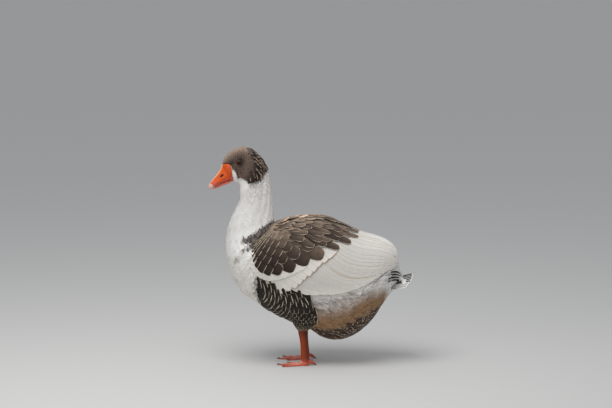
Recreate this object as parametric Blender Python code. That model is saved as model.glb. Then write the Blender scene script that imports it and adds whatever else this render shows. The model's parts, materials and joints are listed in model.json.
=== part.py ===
"""A standing domestic goose, life size: one closed solid for each part of the body that a person would name.

Metres, +Z up. The bird faces -X and its middle plane is Y = 0. The origin is on the floor, under the middle of its box.
The body from the bill's base to the rump is one lofted form, given by ribs. Each rib is a slice through the middle plane
from a point on the back's outline to a point on the belly's, with a half width. The form is parted by thin cuts.
Sizes in the tables are millimetres.
"""

import math

import bmesh
import bpy
import numpy as np

MM = 0.001
GAP = 0.3  # between neighbouring solids
SHIFT_X = -3.75  # brings the middle of the box over the origin
SIDES = 26  # corners of a body ring
HEAD_STEPS = 2  # rings for each rib of the head and neck, and of the trunk
TRUNK_STEPS = 1

# The slices of the whole body: name, back outline (x, z), belly outline (x, z), half width, and how much wider
# the slice is towards the back (above 0) or the belly (below 0).
RIBS = (
    ("face", (-253, 581), (-223, 533), 18, -0.08),
    ("forehead", (-249, 597), (-216, 529), 24, -0.14),
    ("brow", (-238, 612), (-210, 527), 28, -0.18),
    ("eye", (-221, 625), (-206, 525), 31, -0.20),
    ("crown", (-195, 633.5), (-203, 523), 33, -0.18),
    ("ear", (-171, 628), (-202, 518), 34.5, -0.12),
    ("hind_crown", (-150, 612), (-202, 511), 35.5, -0.06),
    ("nape", (-132, 591), (-202, 503), 36.5, 0.0),
    ("hind_nape", (-120, 567), (-202, 494), 37.5, 0.0),
    ("throat", (-114.5, 540), (-202, 484), 38.5, 0.0),
    ("neck", (-110, 512), (-205, 472), 41, 0.0),
    ("neck_middle", (-107, 479), (-213, 455), 46, 0.0),
    ("neck_base", (-105, 449), (-225, 433), 54, -0.03),
    ("crop", (-102, 427), (-237, 405), 65, -0.05),
    ("breast", (-97, 414), (-244, 371), 78, -0.08),
    ("shoulder", (-88, 413), (-244, 333), 90, -0.10),
    ("wing_bend", (-74, 418), (-238, 294), 101, -0.10),
    ("keel", (-54, 424.5), (-224, 252), 111, -0.06),
    ("mantle", (-28, 429.5), (-198, 210), 118, -0.02),
    ("back", (2, 432), (-152, 176), 122, 0.0),
    ("flank", (32, 430.5), (-104, 145), 125, 0.0),
    ("saddle", (62, 423), (-52, 121), 126, 0.0),
    ("knee", (88, 411), (-4, 103), 124, 0.0),
    ("paunch_front", (112, 400), (34, 78), 120, 0.02),
    ("paunch", (136, 389.5), (72, 68.5), 114, 0.04),
    ("paunch_back", (162, 381), (116, 76), 106, 0.05),
    ("rump", (188, 374), (154, 100), 95, 0.06),
    ("vent", (211, 365.5), (186, 133), 82, 0.06),
    ("wing_tips", (231, 354), (209, 168), 66, 0.05),
    ("wing_ends", (247, 338), (230, 199), 48, 0.0),
    ("tail_root", (256, 316), (248, 219), 33, 0.0),
    ("tail_covert", (259, 295), (262, 231), 22, 0.0),
)
HEAD_TO_NECK = "hind_nape"
NECK_TO_BASE = "neck_middle"
BASE_TO_TRUNK = "crop"

# The folded wing: x along it, the height of its lower edge, of its upper edge, and the distance of its inner edge
# from the middle plane.
WING = (
    (-163, 312, 334, 30),
    (-156, 283, 352, 30),
    (-145, 268, 374, 30),
    (-121, 258, 394, 30),
    (-103, 250, 406, 30),
    (-84, 241, 470, 30),
    (-57, 228, 470, 30),
    (-30, 212, 470, 30),
    (7, 204, 470, 28),
    (50, 207, 470, 22),
    (90, 210, 470, 14),
    (118, 217, 470, 6),
    (142, 236, 470, 0.4),
    (175, 255, 470, 0.4),
    (216, 268, 470, 0.4),
    (250, 281, 470, 0.4),
    (275, 291, 470, 0.4),
)
WING_DEPTH = 17
WING_REACH = 200  # the wing's cutting form runs this far out from the middle plane
RUMP_DROP = 44  # how far the rump lies under the wing tips
RUMP_FROM, RUMP_TO = 90, 215

# The bill, from the face to the tip: ridge (x, z), cutting edge (x, z), half width.
UPPER_BILL = (
    ((-253.1, 580.3), (-226.1, 537.2), 16.6),
    ((-259.5, 565.5), (-233.5, 534.5), 16.0),
    ((-267.5, 553.5), (-245.0, 531.0), 15.2),
    ((-276.5, 542.5), (-257.0, 526.0), 14.4),
    ((-284.5, 533.0), (-268.5, 520.0), 13.0),
    ((-290.0, 525.0), (-278.5, 515.0), 10.6),
    ((-292.5, 518.5), (-285.0, 511.5), 7.0),
    ((-291.8, 512.5), (-288.5, 509.3), 3.2),
)
# The lower mandible: upper edge (x, z), keel (x, z), half width.
LOWER_BILL = (
    ((-225.6, 536.4), (-223.2, 532.6), 14.8),
    ((-234.0, 533.5), (-231.0, 527.5), 14.2),
    ((-245.5, 530.0), (-242.5, 523.0), 13.2),
    ((-257.3, 525.0), (-254.5, 518.5), 11.8),
    ((-268.3, 519.0), (-266.0, 513.5), 9.6),
    ((-277.5, 514.2), (-276.5, 510.0), 6.5),
    ((-282.5, 511.3), (-282.3, 509.0), 3.0),
)
BILL_SIDES = 16

EYE_AT = (-203, 588.5)
EYE_RADIUS = 8.5
EYE_OPENING = 6.2  # radius of what shows between the lids

# The tail: x, height of its middle, half width, half thickness.
TAIL = (
    (214, 244, 22, 11),
    (232, 246, 28, 12),
    (252, 249, 37, 10),
    (272, 252.5, 47, 7),
    (287, 256, 55, 4.6),
    (296, 258.5, 50, 2.6),
    (300, 259.5, 34, 1.4),
)

# The feathered lower thigh: height, x, distance from the middle plane, half length, half width.
THIGH = (
    (205, -14, 74, 44, 30),
    (170, -13, 72, 45, 31),
    (145, -14, 67, 40, 28),
    (125, -16, 61, 30, 23),
    (112, -18, 55, 21, 17),
    (104, -19, 51, 15, 12),
)
# The bare leg, from the heel joint to the ankle: height, x, half length, half width.
LEG_OUT = 50
LEG = (
    (103.4, -19, 12.5, 8.8),
    (96, -18.5, 13.2, 9.2),
    (86, -17.5, 11.4, 7.8),
    (64, -15.5, 10.0, 6.6),
    (42, -14, 10.2, 6.6),
    (26, -13, 11.2, 7.6),
    (17, -12.5, 11.8, 8.6),
)
# The toes, from the ankle: name, length, direction in degrees from straight ahead (towards the outer side).
ANKLE_X = -13
TOES = (("inner", 58, -27), ("middle", 78, 0), ("outer", 68, 27))
TOE_HALF_WIDTH, TOE_TIP, TOE_HEIGHT = 6.0, 1.6, 5.6
TOED_IN = 4.0  # degrees that each foot turns inwards
WEB_THICK, WEB_LOW = 2.6, 0.5
WEB_REACH, WEB_HOLLOW = 0.86, 0.80  # where the web meets a toe, and how far its edge reaches between two toes


def clear_scene():
    for obj in list(bpy.data.objects):
        bpy.data.objects.remove(obj, do_unlink=True)


def material(name, colour, roughness):
    """A plain shader with this sub-part's colour and gloss."""
    made = bpy.data.materials.new(name)
    made.use_nodes = True
    shader = made.node_tree.nodes["Principled BSDF"]
    shader.inputs["Base Color"].default_value = (*colour, 1.0)
    shader.inputs["Roughness"].default_value = roughness
    shader.inputs["Metallic"].default_value = 0.0
    return made


def spline(knots, values, at):
    """A smooth curve through the values at the knots: cubic pieces whose slopes come from both neighbours."""
    knots, values, at = (np.asarray(v, float) for v in (knots, values, at))
    slopes = np.gradient(values, knots, axis=0)
    i = np.clip(np.searchsorted(knots, at, side="right") - 1, 0, len(knots) - 2)
    span = knots[i + 1] - knots[i]
    t = (at - knots[i]) / span
    if values.ndim > 1:
        t, span = t[:, None], span[:, None]
    return (
        values[i] * (1 + 2 * t) * (1 - t) ** 2
        + values[i + 1] * t * t * (3 - 2 * t)
        + slopes[i] * span * t * (1 - t) ** 2
        - slopes[i + 1] * span * t * t * (1 - t)
    )


def rib_place(name):
    """The index of the rib with that name."""
    return [rib[0] for rib in RIBS].index(name)


def rib_table():
    """Every rib as one row: back x, back z, belly x, belly z, half width, egg."""
    return np.array([(*top, *bottom, half, egg) for _, top, bottom, half, egg in RIBS], float)


def body_rings(first, last, steps=TRUNK_STEPS, inset=0.0, thinner=0.0, drop=0.0, before=0.0, after=0.0):
    """Rings of the body form from rib index first to last. inset draws every ring in by that much. thinner takes
    more off each side and drop lowers the rump, which together give the core under the wings. before and after
    move the end rings along the body."""
    table = rib_table()
    at = np.linspace(first, last, int(round((last - first) * steps)) + 1)
    back_x, back_z, belly_x, belly_z, half, egg = spline(np.arange(len(RIBS)), table, at).T
    lowering = np.clip((back_x - RUMP_FROM) / (RUMP_TO - RUMP_FROM), 0, 1)
    back_z = back_z - drop * lowering * lowering * (3 - 2 * lowering)
    half = np.maximum(half - thinner, 5) - inset
    angle = np.linspace(0, 2 * math.pi, SIDES, endpoint=False)
    up, out = np.cos(angle), np.sin(angle)
    middle = np.stack([(back_x + belly_x) / 2, 0 * at, (back_z + belly_z) / 2], 1)
    rise = np.stack([(back_x - belly_x) / 2, 0 * at, (back_z - belly_z) / 2], 1)
    rise *= 1 - inset / np.linalg.norm(rise, axis=1)[:, None]
    rings = middle[:, None] + up[None, :, None] * rise[:, None]
    rings[:, :, 1] += half[:, None] * out[None] * (1 + egg[:, None] * up[None])
    along = np.stack([rise[:, 2], 0 * at, -rise[:, 0]], 1)
    along /= np.linalg.norm(along, axis=1)[:, None]
    rings[0] -= along[0] * before
    rings[-1] += along[-1] * after
    return rings


def elliptic_ring(centre, half_x, half_y, count):
    """A level ellipse round a centre."""
    angle = np.linspace(0, 2 * math.pi, count, endpoint=False)
    ring = np.stack([half_x * np.cos(angle), half_y * np.sin(angle), 0 * angle], 1)
    return ring + np.asarray(centre, float)


def loft(name, rings, finish=None, cutter=False):
    """A closed mesh object through a list of rings, in millimetres, each end closed by a fan round its middle."""
    rings = np.asarray(rings, float)
    stations, count, _ = rings.shape
    points = np.concatenate([rings.reshape(-1, 3), [rings[0].mean(0)], [rings[-1].mean(0)]])
    near, far = len(points) - 2, len(points) - 1
    faces = []
    for j in range(count):
        k = (j + 1) % count
        faces.append((near, k, j))
        for i in range(stations - 1):
            a, b = i * count, (i + 1) * count
            faces += [(a + j, a + k, b + k), (a + j, b + k, b + j)]
        last = (stations - 1) * count
        faces.append((far, last + j, last + k))
    return solid(name, points, faces, finish, cutter)


def solid(name, points, faces, finish=None, cutter=False):
    """A mesh object from points in millimetres, with its faces turned outwards. A cutter isn't part of the model."""
    mesh = bpy.data.meshes.new(name)
    mesh.from_pydata([tuple(p) for p in np.asarray(points) * MM + (SHIFT_X * MM, 0, 0)], [], faces)
    shape = bmesh.new()
    shape.from_mesh(mesh)
    bmesh.ops.recalc_face_normals(shape, faces=shape.faces)
    shape.to_mesh(mesh)
    shape.free()
    obj = bpy.data.objects.new(name, mesh)
    bpy.context.scene.collection.objects.link(obj)
    if cutter:
        obj.hide_render = True
        obj.display_type = "WIRE"
    if finish:
        mesh.materials.append(finish)
        mesh.shade_smooth()
    return obj


def combine(obj, other, operation):
    """Adds an exact Boolean of obj with another object."""
    modifier = obj.modifiers.new(f"{operation.lower()}_{other.name}", "BOOLEAN")
    modifier.operation = operation
    modifier.solver = "EXACT"
    modifier.object = other


def head_and_neck(plumage):
    """The head and two lengths of neck, parted by thin cuts. The head has a socket for each eye."""
    nape, middle, base = (rib_place(n) for n in (HEAD_TO_NECK, NECK_TO_BASE, BASE_TO_TRUNK))
    head = loft("head", body_rings(0, nape, HEAD_STEPS, after=-GAP / 2), plumage["head"])
    loft("neck_upper", body_rings(nape, middle, HEAD_STEPS, before=-GAP / 2, after=-GAP / 2), plumage["white"])
    loft("neck_lower", body_rings(middle, base, HEAD_STEPS, before=-GAP / 2, after=-GAP / 2), plumage["white"])
    return head


def eyes(head, finish):
    """A ball on each side, deep in its socket, so that only the opening between the lids shows."""
    table = rib_table()
    eye_rib = rib_place("eye") + 0.45
    row = spline(np.arange(len(RIBS)), table, np.array([eye_rib]))[0]
    top, bottom = row[[0, 1]], row[[2, 3]]
    up = 2 * np.dot(np.array(EYE_AT) - bottom, top - bottom) / np.dot(top - bottom, top - bottom) - 1
    side = row[4] * math.sqrt(1 - up * up) * (1 + row[5] * up)
    depth = math.sqrt(EYE_RADIUS**2 - EYE_OPENING**2)
    for name, sign in (("left", 1), ("right", -1)):
        centre = (EYE_AT[0], sign * (side - depth), EYE_AT[1])
        ball(f"eye_{name}", centre, EYE_RADIUS, finish)
        combine(head, ball(f"socket_{name}", centre, EYE_RADIUS + GAP, cutter=True), "DIFFERENCE")


def ball(name, centre, radius, finish=None, cutter=False):
    """A sphere made of level rings, with a small flat at each pole."""
    lift = np.linspace(-math.pi / 2, math.pi / 2, 10)[1:-1]
    rings = [
        elliptic_ring((centre[0], centre[1], centre[2] + radius * math.sin(t)), *[radius * math.cos(t)] * 2, 14)
        for t in lift
    ]
    return loft(name, rings, finish, cutter)


def bill(finish):
    """The upper bill, arched from ridge to cutting edge, and the shallow lower mandible under it."""
    for name, table, arch in (("bill_upper", UPPER_BILL, 1), ("bill_lower", LOWER_BILL, -1)):
        knots = np.arange(len(table))
        rows = np.array([(*a, *b, half) for a, b, half in table], float)
        at = np.linspace(0, len(table) - 1, 2 * len(table) - 1)
        first_x, first_z, second_x, second_z, half = spline(knots, rows, at).T
        angle = np.linspace(0, 2 * math.pi, BILL_SIDES, endpoint=False)
        up = np.cos(angle)
        wide = np.sin(angle) * (1 - 0.28 * arch * up)
        rings = np.zeros((len(at), BILL_SIDES, 3))
        rings[:, :, 0] = ((first_x + second_x) / 2)[:, None] + np.outer((first_x - second_x) / 2, up)
        rings[:, :, 2] = ((first_z + second_z) / 2)[:, None] + np.outer((first_z - second_z) / 2, up)
        rings[:, :, 1] = np.outer(half, wide)
        loft(name, rings, finish)


def wing_form(name, spare):
    """A cutting form for one wing, on the -Y side: as wide as the folded wing seen from the side, plus a spare
    margin all round, less the body's core. It runs out past the body's side."""
    x, low, high, inner = np.array(WING, float).T
    rings = np.zeros((len(x), 4, 3))
    rings[:, :, 0] = x[:, None]
    rings[:, [0, 1], 1] = -(inner - spare)[:, None]
    rings[:, [2, 3], 1] = -WING_REACH
    rings[:, [0, 3], 2] = (low - spare)[:, None]
    rings[:, [1, 2], 2] = (high + spare)[:, None]
    rings[0, :, 0] -= spare
    return loft(name, rings, cutter=True)


def mirrored(obj, name, finish=None, cutter=False):
    """A copy of obj on the other side of the middle plane."""
    mesh = obj.data.copy()
    points = np.array([v.co for v in mesh.vertices]) * (1, -1, 1)
    mesh.vertices.foreach_set("co", points.ravel())
    mesh.flip_normals()
    copy = bpy.data.objects.new(name, mesh)
    bpy.context.scene.collection.objects.link(copy)
    if cutter:
        copy.hide_render = True
        copy.display_type = "WIRE"
    if finish:
        mesh.materials.clear()
        mesh.materials.append(finish)
    return copy


def trunk_and_wings(plumage):
    """The trunk with a recess on each side, and in each recess the folded wing, flush with the body's outline."""
    first, last = rib_place(BASE_TO_TRUNK), len(RIBS) - 1
    whole = body_rings(first, last, before=-GAP / 2)
    trunk = loft("trunk", whole, plumage["white"])
    core = dict(first=first - 1, last=last, drop=RUMP_DROP, after=12)
    bed = loft("wing_bed", body_rings(thinner=WING_DEPTH, **core), cutter=True)
    bed_in = loft("wing_bed_inner", body_rings(thinner=WING_DEPTH, inset=GAP, **core), cutter=True)
    for side in ("right", "left"):
        form, recess = wing_form(f"wing_form_{side}", 0.0), wing_form(f"recess_{side}", GAP)
        if side == "left":
            form, recess = (mirrored(f, f.name + "_turned", cutter=True) for f in (form, recess))
        wing = loft(f"wing_{side}", whole, plumage["brown"])
        combine(wing, form, "INTERSECT")
        combine(wing, bed, "DIFFERENCE")
        combine(recess, bed_in, "DIFFERENCE")
        combine(trunk, recess, "DIFFERENCE")


def swollen_body(name):
    """The body form a gap's width larger all round, to cut the pieces that meet its outside."""
    first, last = rib_place(BASE_TO_TRUNK), len(RIBS) - 1
    return loft(name, body_rings(first, last, inset=-GAP, after=GAP), cutter=True)


def tail(body, finish):
    """A shallow fan of feathers as one blade, rounded at its tip, growing out of the rump."""
    table = np.array(TAIL, float)
    x, z, half, thick = table.T
    angle = np.linspace(0, 2 * math.pi, 20, endpoint=False)
    rings = np.zeros((len(x), len(angle), 3))
    rings[:, :, 0] = x[:, None]
    rings[:, :, 1] = np.outer(half, np.cos(angle))
    rings[:, :, 2] = z[:, None] + np.outer(thick, np.sin(angle)) - 4 * np.cos(angle)[None] ** 2
    combine(loft("tail", rings, finish), body, "DIFFERENCE")


def thigh_and_leg(side, sign, body, plumage, skin):
    """The feathered thigh below the flank and the bare leg under it."""
    rings = [elliptic_ring((x, sign * y, z), half_x, half_y, 18) for z, x, y, half_x, half_y in THIGH]
    combine(loft(f"thigh_{side}", rings, plumage), body, "DIFFERENCE")
    rings = [elliptic_ring((x, sign * LEG_OUT, z), half_x, half_y, 14) for z, x, half_x, half_y in LEG]
    loft(f"leg_{side}", rings, skin)


def tube(name, path, half_width, half_height, count=10, cutter=True):
    """A tapering finger along a path of points, its rings upright and square to the path seen from above."""
    path = np.asarray(path, float)
    way = np.gradient(path, axis=0)
    way[:, 2] = 0
    way /= np.linalg.norm(way, axis=1)[:, None]
    across = np.stack([-way[:, 1], way[:, 0], 0 * way[:, 0]], 1)
    angle = np.linspace(0, 2 * math.pi, count, endpoint=False)
    rings = path[:, None] + across[:, None] * (np.outer(half_width, np.cos(angle)))[:, :, None]
    rings[:, :, 2] += np.outer(half_height, np.sin(angle))
    return loft(name, rings, cutter=cutter)


def foot(side, sign, finish):
    """Three webbed toes and a small hind toe, joined under the ankle and cut flat at the floor."""
    ankle = np.array((ANKLE_X, sign * LEG_OUT, 0.0))
    angle = np.linspace(0, 2 * math.pi, 16, endpoint=False)
    ankle_rings = [
        np.stack([p * np.cos(angle), q * np.sin(angle), 0 * angle + z], 1) + ankle
        for z, p, q in ((16.6, 11.6, 8.4), (12, 12.6, 9.6), (6, 13.0, 10.6), (-3, 11.0, 9.0))
    ]
    whole = loft(f"foot_{side}", ankle_rings, finish)
    share = np.linspace(0, 1, 8)
    directions = {}
    for toe, length, degrees in TOES:
        turn = math.radians(degrees - TOED_IN) * sign
        way = np.array((-math.cos(turn), math.sin(turn), 0.0))
        directions[toe] = way * length
        knuckles = 1 + 0.10 * np.cos(share * 3 * 2 * math.pi)
        width = (TOE_HALF_WIDTH + (TOE_TIP - TOE_HALF_WIDTH) * share**1.6) * knuckles
        height = (TOE_HEIGHT + (TOE_TIP - TOE_HEIGHT) * share**1.4) * knuckles
        path = ankle + share[:, None] * directions[toe]
        path[:, 2] = height - 1.0
        combine(whole, tube(f"toe_{toe}_{side}", path, width, height), "UNION")
    reach = [directions[toe] * WEB_REACH for toe, _, _ in TOES]
    hollows = [(a + b) / 2 * WEB_HOLLOW for a, b in zip(reach, reach[1:])]
    outline = [ankle - reach[1] * 0.05, ankle + reach[0], ankle + hollows[0]]
    outline += [ankle + reach[1], ankle + hollows[1], ankle + reach[2]]
    low, high = np.array(outline), np.array(outline)
    low[:, 2], high[:, 2] = WEB_LOW, WEB_LOW + WEB_THICK
    count = len(outline)
    faces = [tuple(range(count)), tuple(range(2 * count - 1, count - 1, -1))]
    faces += [(i, (i + 1) % count, count + (i + 1) % count, count + i) for i in range(count)]
    combine(whole, solid(f"web_{side}", np.concatenate([low, high]), faces, cutter=True), "UNION")
    back = np.linspace(0, 1, 6)
    path = ankle + np.stack([back * 24 + 2, -sign * back * 4, 12 - back * 10.6], 1)
    hind = tube(f"hind_toe_{side}", path, 4.2 - 2.4 * back, 4.4 - 2.6 * back)
    combine(whole, hind, "UNION")
    slab = [(x, y, z) for x in (-200, 200) for y in (-200, 200) for z in (-60, 0)]
    sides = [(0, 1, 3, 2), (4, 6, 7, 5), (0, 4, 5, 1), (2, 3, 7, 6), (0, 2, 6, 4), (1, 5, 7, 3)]
    combine(whole, solid(f"floor_{side}", slab, sides, cutter=True), "DIFFERENCE")


def main():
    clear_scene()
    plumage = {
        "white": material("white_plumage", (0.78, 0.76, 0.72), 0.8),
        "brown": material("brown_plumage", (0.12, 0.085, 0.06), 0.8),
        "head": material("head_plumage", (0.17, 0.13, 0.11), 0.8),
        "dark": material("flank_plumage", (0.06, 0.045, 0.035), 0.8),
    }
    horn = material("bill_horn", (0.83, 0.24, 0.04), 0.45)
    scales = material("leg_scales", (0.60, 0.17, 0.06), 0.55)
    iris = material("eye", (0.09, 0.03, 0.015), 0.08)
    head = head_and_neck(plumage)
    eyes(head, iris)
    bill(horn)
    trunk_and_wings(plumage)
    body = swollen_body("body_swollen")
    tail(body, plumage["dark"])
    for side, sign in (("left", 1), ("right", -1)):
        thigh_and_leg(side, sign, body, plumage["dark"], scales)
        foot(side, sign, scales)


main()
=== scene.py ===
import json
import math

import bpy
import numpy as np
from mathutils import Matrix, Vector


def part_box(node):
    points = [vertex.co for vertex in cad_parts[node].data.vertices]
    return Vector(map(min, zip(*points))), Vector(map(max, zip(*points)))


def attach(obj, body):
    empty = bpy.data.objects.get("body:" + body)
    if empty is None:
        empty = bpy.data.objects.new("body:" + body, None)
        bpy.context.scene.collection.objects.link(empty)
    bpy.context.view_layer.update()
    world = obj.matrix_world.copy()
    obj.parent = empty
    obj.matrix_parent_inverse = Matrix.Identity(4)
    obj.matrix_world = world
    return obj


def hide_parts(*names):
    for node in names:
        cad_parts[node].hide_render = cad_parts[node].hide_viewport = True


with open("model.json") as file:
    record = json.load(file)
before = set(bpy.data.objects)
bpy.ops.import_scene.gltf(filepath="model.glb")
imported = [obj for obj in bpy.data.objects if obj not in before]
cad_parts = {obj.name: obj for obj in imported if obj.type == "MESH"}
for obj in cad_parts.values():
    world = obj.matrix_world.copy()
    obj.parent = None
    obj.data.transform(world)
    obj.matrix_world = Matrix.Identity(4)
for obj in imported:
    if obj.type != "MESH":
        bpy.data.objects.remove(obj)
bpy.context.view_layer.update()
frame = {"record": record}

# A standing domestic goose: skin, plumage, bill, eyes, legs and feet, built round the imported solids.
# Tables are in millimetres and degrees. A form is a function that gives the points of a surface for two
# parameters, and every feather lies on one: its midrib is a track of parameter pairs, from root to tip.
MM = 0.001
draw = np.random.default_rng(11)

# The body's ribs, as in the solids: a slice from a back point (x, z) to a belly point (x, z), a half width,
# and how much wider the slice is towards the back (above 0) or the belly (below 0).
RIBS = (
    ("face", (-253, 581), (-223, 533), 18, -0.08),
    ("forehead", (-249, 597), (-216, 529), 24, -0.14),
    ("brow", (-238, 612), (-210, 527), 28, -0.18),
    ("eye", (-221, 625), (-206, 525), 31, -0.20),
    ("crown", (-195, 633.5), (-203, 523), 33, -0.18),
    ("ear", (-171, 628), (-202, 518), 34.5, -0.12),
    ("hind_crown", (-150, 612), (-202, 511), 35.5, -0.06),
    ("nape", (-132, 591), (-202, 503), 36.5, 0.0),
    ("hind_nape", (-120, 567), (-202, 494), 37.5, 0.0),
    ("throat", (-114.5, 540), (-202, 484), 38.5, 0.0),
    ("neck", (-110, 512), (-205, 472), 41, 0.0),
    ("neck_middle", (-107, 479), (-213, 455), 46, 0.0),
    ("neck_base", (-105, 449), (-225, 433), 54, -0.03),
    ("crop", (-102, 427), (-237, 405), 65, -0.05),
    ("breast", (-97, 414), (-244, 371), 78, -0.08),
    ("shoulder", (-88, 413), (-244, 333), 90, -0.10),
    ("wing_bend", (-74, 418), (-238, 294), 101, -0.10),
    ("keel", (-54, 424.5), (-224, 252), 111, -0.06),
    ("mantle", (-28, 429.5), (-198, 210), 118, -0.02),
    ("back", (2, 432), (-152, 176), 122, 0.0),
    ("flank", (32, 430.5), (-104, 145), 125, 0.0),
    ("saddle", (62, 423), (-52, 121), 126, 0.0),
    ("knee", (88, 411), (-4, 103), 124, 0.0),
    ("paunch_front", (112, 400), (34, 78), 120, 0.02),
    ("paunch", (136, 389.5), (72, 68.5), 114, 0.04),
    ("paunch_back", (162, 381), (116, 76), 106, 0.05),
    ("rump", (188, 374), (154, 100), 95, 0.06),
    ("vent", (211, 365.5), (186, 133), 82, 0.06),
    ("wing_tips", (231, 354), (209, 168), 66, 0.05),
    ("wing_ends", (247, 338), (230, 199), 48, 0.0),
    ("tail_root", (256, 316), (248, 219), 33, 0.0),
    ("tail_covert", (259, 295), (262, 231), 22, 0.0),
)
LAST_RIB = len(RIBS) - 1
BODY_ROWS = np.array([(*top, *bottom, half, egg) for _, top, bottom, half, egg in RIBS], float)
ANKLE_X, LEG_OUT = -13.0, 50.0  # where a foot stands in these tables
SOLES = {m["name"]: m["pos_m"] for m in frame["record"]["mounts"]}
SHIFT_X = SOLES["sole_right"][0] / MM - ANKLE_X  # from the tables to the row frame


def linear(red, green, blue):
    """A display colour of 0 to 255 as linear light."""
    share = np.array((red, green, blue), float) / 255
    return np.where(share <= 0.04045, share / 12.92, ((share + 0.055) / 1.055) ** 2.4)


WHITE = linear(240, 237, 232)
WING_WHITE = linear(236, 230, 222)
CREAM = linear(226, 212, 192)
THIGH_TINT = linear(120, 96, 62)
TAN = linear(196, 164, 122)
# a brown-grey mark before the saddle: partly its own colour, partly painted shadow under the neck's feathers
SMUDGE_AND_SHADOW = linear(84, 73, 66)
HEAD = linear(94, 77, 68)
# the crown's pale colour: partly its own, partly painted light from above
CROWN_AND_TOP_LIGHT = linear(142, 124, 110)
NAPE = linear(40, 30, 24)
NAPE_EDGE = linear(186, 162, 142)
SADDLE = linear(60, 46, 38)
# the mantle's paler brown: partly its own colour, partly painted light on the top of the back
MANTLE_AND_TOP_LIGHT = linear(176, 152, 132)
SADDLE_RIM = linear(214, 196, 168)
FLANK = linear(36, 27, 22)
FLANK_RIM = linear(226, 212, 188)
BEIGE = linear(206, 194, 172)
# the paunch's lower, hinder brown: partly its own colour, partly painted warm shade
BUFF_AND_SHADE = linear(156, 122, 90)
PAUNCH = linear(220, 216, 212)
UNDER = linear(74, 55, 43)
SLATE = linear(70, 66, 66)
ORANGE = linear(218, 84, 6)
# painted shade on the bill: in the folds' creases and at its base by the face
ORANGE_SHADE = linear(176, 48, 6)
# painted highlight along the bill's ridge
ORANGE_HIGHLIGHT = linear(252, 196, 142)
ROSE = linear(218, 104, 86)
FLESH = linear(214, 168, 122)
NAIL = linear(232, 190, 176)
# painted shade: the dark inside of the nostril's hollow
NOSTRIL_SHADE = linear(34, 10, 8)
EYE_BROWN = linear(78, 31, 16)
EYE_DARK = linear(14, 10, 9)
LID = linear(42, 27, 22)
LEG_RED = linear(150, 58, 8)
LEG_BROWN = linear(88, 35, 13)
LEG_DARK = linear(84, 30, 18)
FOOT = linear(206, 104, 78)
FOOT_ROSE = linear(196, 88, 72)
# painted highlight on the toes' tops
TOE_HIGHLIGHT = linear(238, 178, 160)
CLAW_DARK = linear(74, 56, 48)


def smooth(value, low, high):
    """0 below low, 1 above high, and an S-shaped rise between them."""
    t = np.clip((value - low) / (high - low), 0, 1)
    return t * t * (3 - 2 * t)


def between(value, start, full, fade, gone):
    """An S-shaped rise from start to full, and a fall of the same shape from fade to gone."""
    return smooth(value, start, full) * (1 - smooth(value, fade, gone))


def hump(value, middle, reach):
    """1 at the middle, falling away like a bell."""
    return np.exp(-(((value - middle) / reach) ** 2))


def toward(colour, other, share):
    """A colour moved part of the way to another."""
    return colour + (other - colour) * np.asarray(share)[..., None]


def unit(vectors):
    """The vectors, made 1 long."""
    return vectors / np.maximum(np.linalg.norm(vectors, axis=-1, keepdims=True), 1e-9)


def turns_round(count, start=0.0):
    """That many even turns, once round."""
    return np.linspace(start, start + 2 * np.pi, count + 1)[:-1]


def grid(rows, columns):
    """Two parameters over a grid, from a value for each row and one for each column."""
    return np.meshgrid(rows, columns, indexing="ij")


def cubic(start, end, leave, arrive, t):
    """A cubic curve from start to end while t runs from 0 to 1, with those slopes at its ends."""
    ends = start * (1 + 2 * t) * (1 - t) ** 2 + end * t * t * (3 - 2 * t)
    return ends + leave * t * (1 - t) ** 2 - arrive * t * t * (1 - t)


def sliced(rows, place, turn):
    """A form made of slices: on a slice, up is the cosine of the turn from its first point to its second,
    and the width is the half width times the sine, times 1 plus the egg share times up. Slices blend by
    cubic pieces."""
    last = len(rows) - 1
    slopes = np.gradient(rows, axis=0)
    place = np.clip(place, 0, last)
    i = np.minimum(place.astype(int), last - 1)
    t = (place - i)[..., None]
    row = cubic(rows[i], rows[i + 1], slopes[i], slopes[i + 1], t)
    first_x, first_z, second_x, second_z, half, egg = np.moveaxis(row, -1, 0)
    up = np.cos(turn)
    x = (first_x + second_x) / 2 + up * (first_x - second_x) / 2 + SHIFT_X
    z = (first_z + second_z) / 2 + up * (first_z - second_z) / 2
    return np.stack([x, half * np.sin(turn) * (1 + egg * up), z], -1)


def body(rib, turn):
    """The plumage's outer face, from the bill's base to the tail's root."""
    return sliced(BODY_ROWS, rib, turn)


def lie(form, p, q):
    """The form's points, how they move with each parameter, and the outward direction."""
    at = form(p, q)
    step_p, step_q = 0.02, 0.008  # how far each way the slopes are measured
    by_p = (form(p + step_p, q) - form(p - step_p, q)) / (2 * step_p)
    by_q = (form(p, q + step_q) - form(p, q - step_q)) / (2 * step_q)
    return at, by_p, by_q, unit(np.cross(by_p, by_q))


def raised(form, p, q, lift):
    """Points that stand lift millimetres off the form, and off the relief too where the form is the
    body."""
    at, _, _, out = lie(form, p, q)
    if form is body:
        lift = lift + relief(p, q)
    return at + out * lift[..., None]


EYE_RIB, EYE_TURN = 3.82, math.radians(76)


def eye_distance(rib, turn):
    """About how many millimetres a place on the head is from the eye's middle."""
    return np.hypot((rib - EYE_RIB) * 17.5, (np.abs(turn) - EYE_TURN) * 36)


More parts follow.
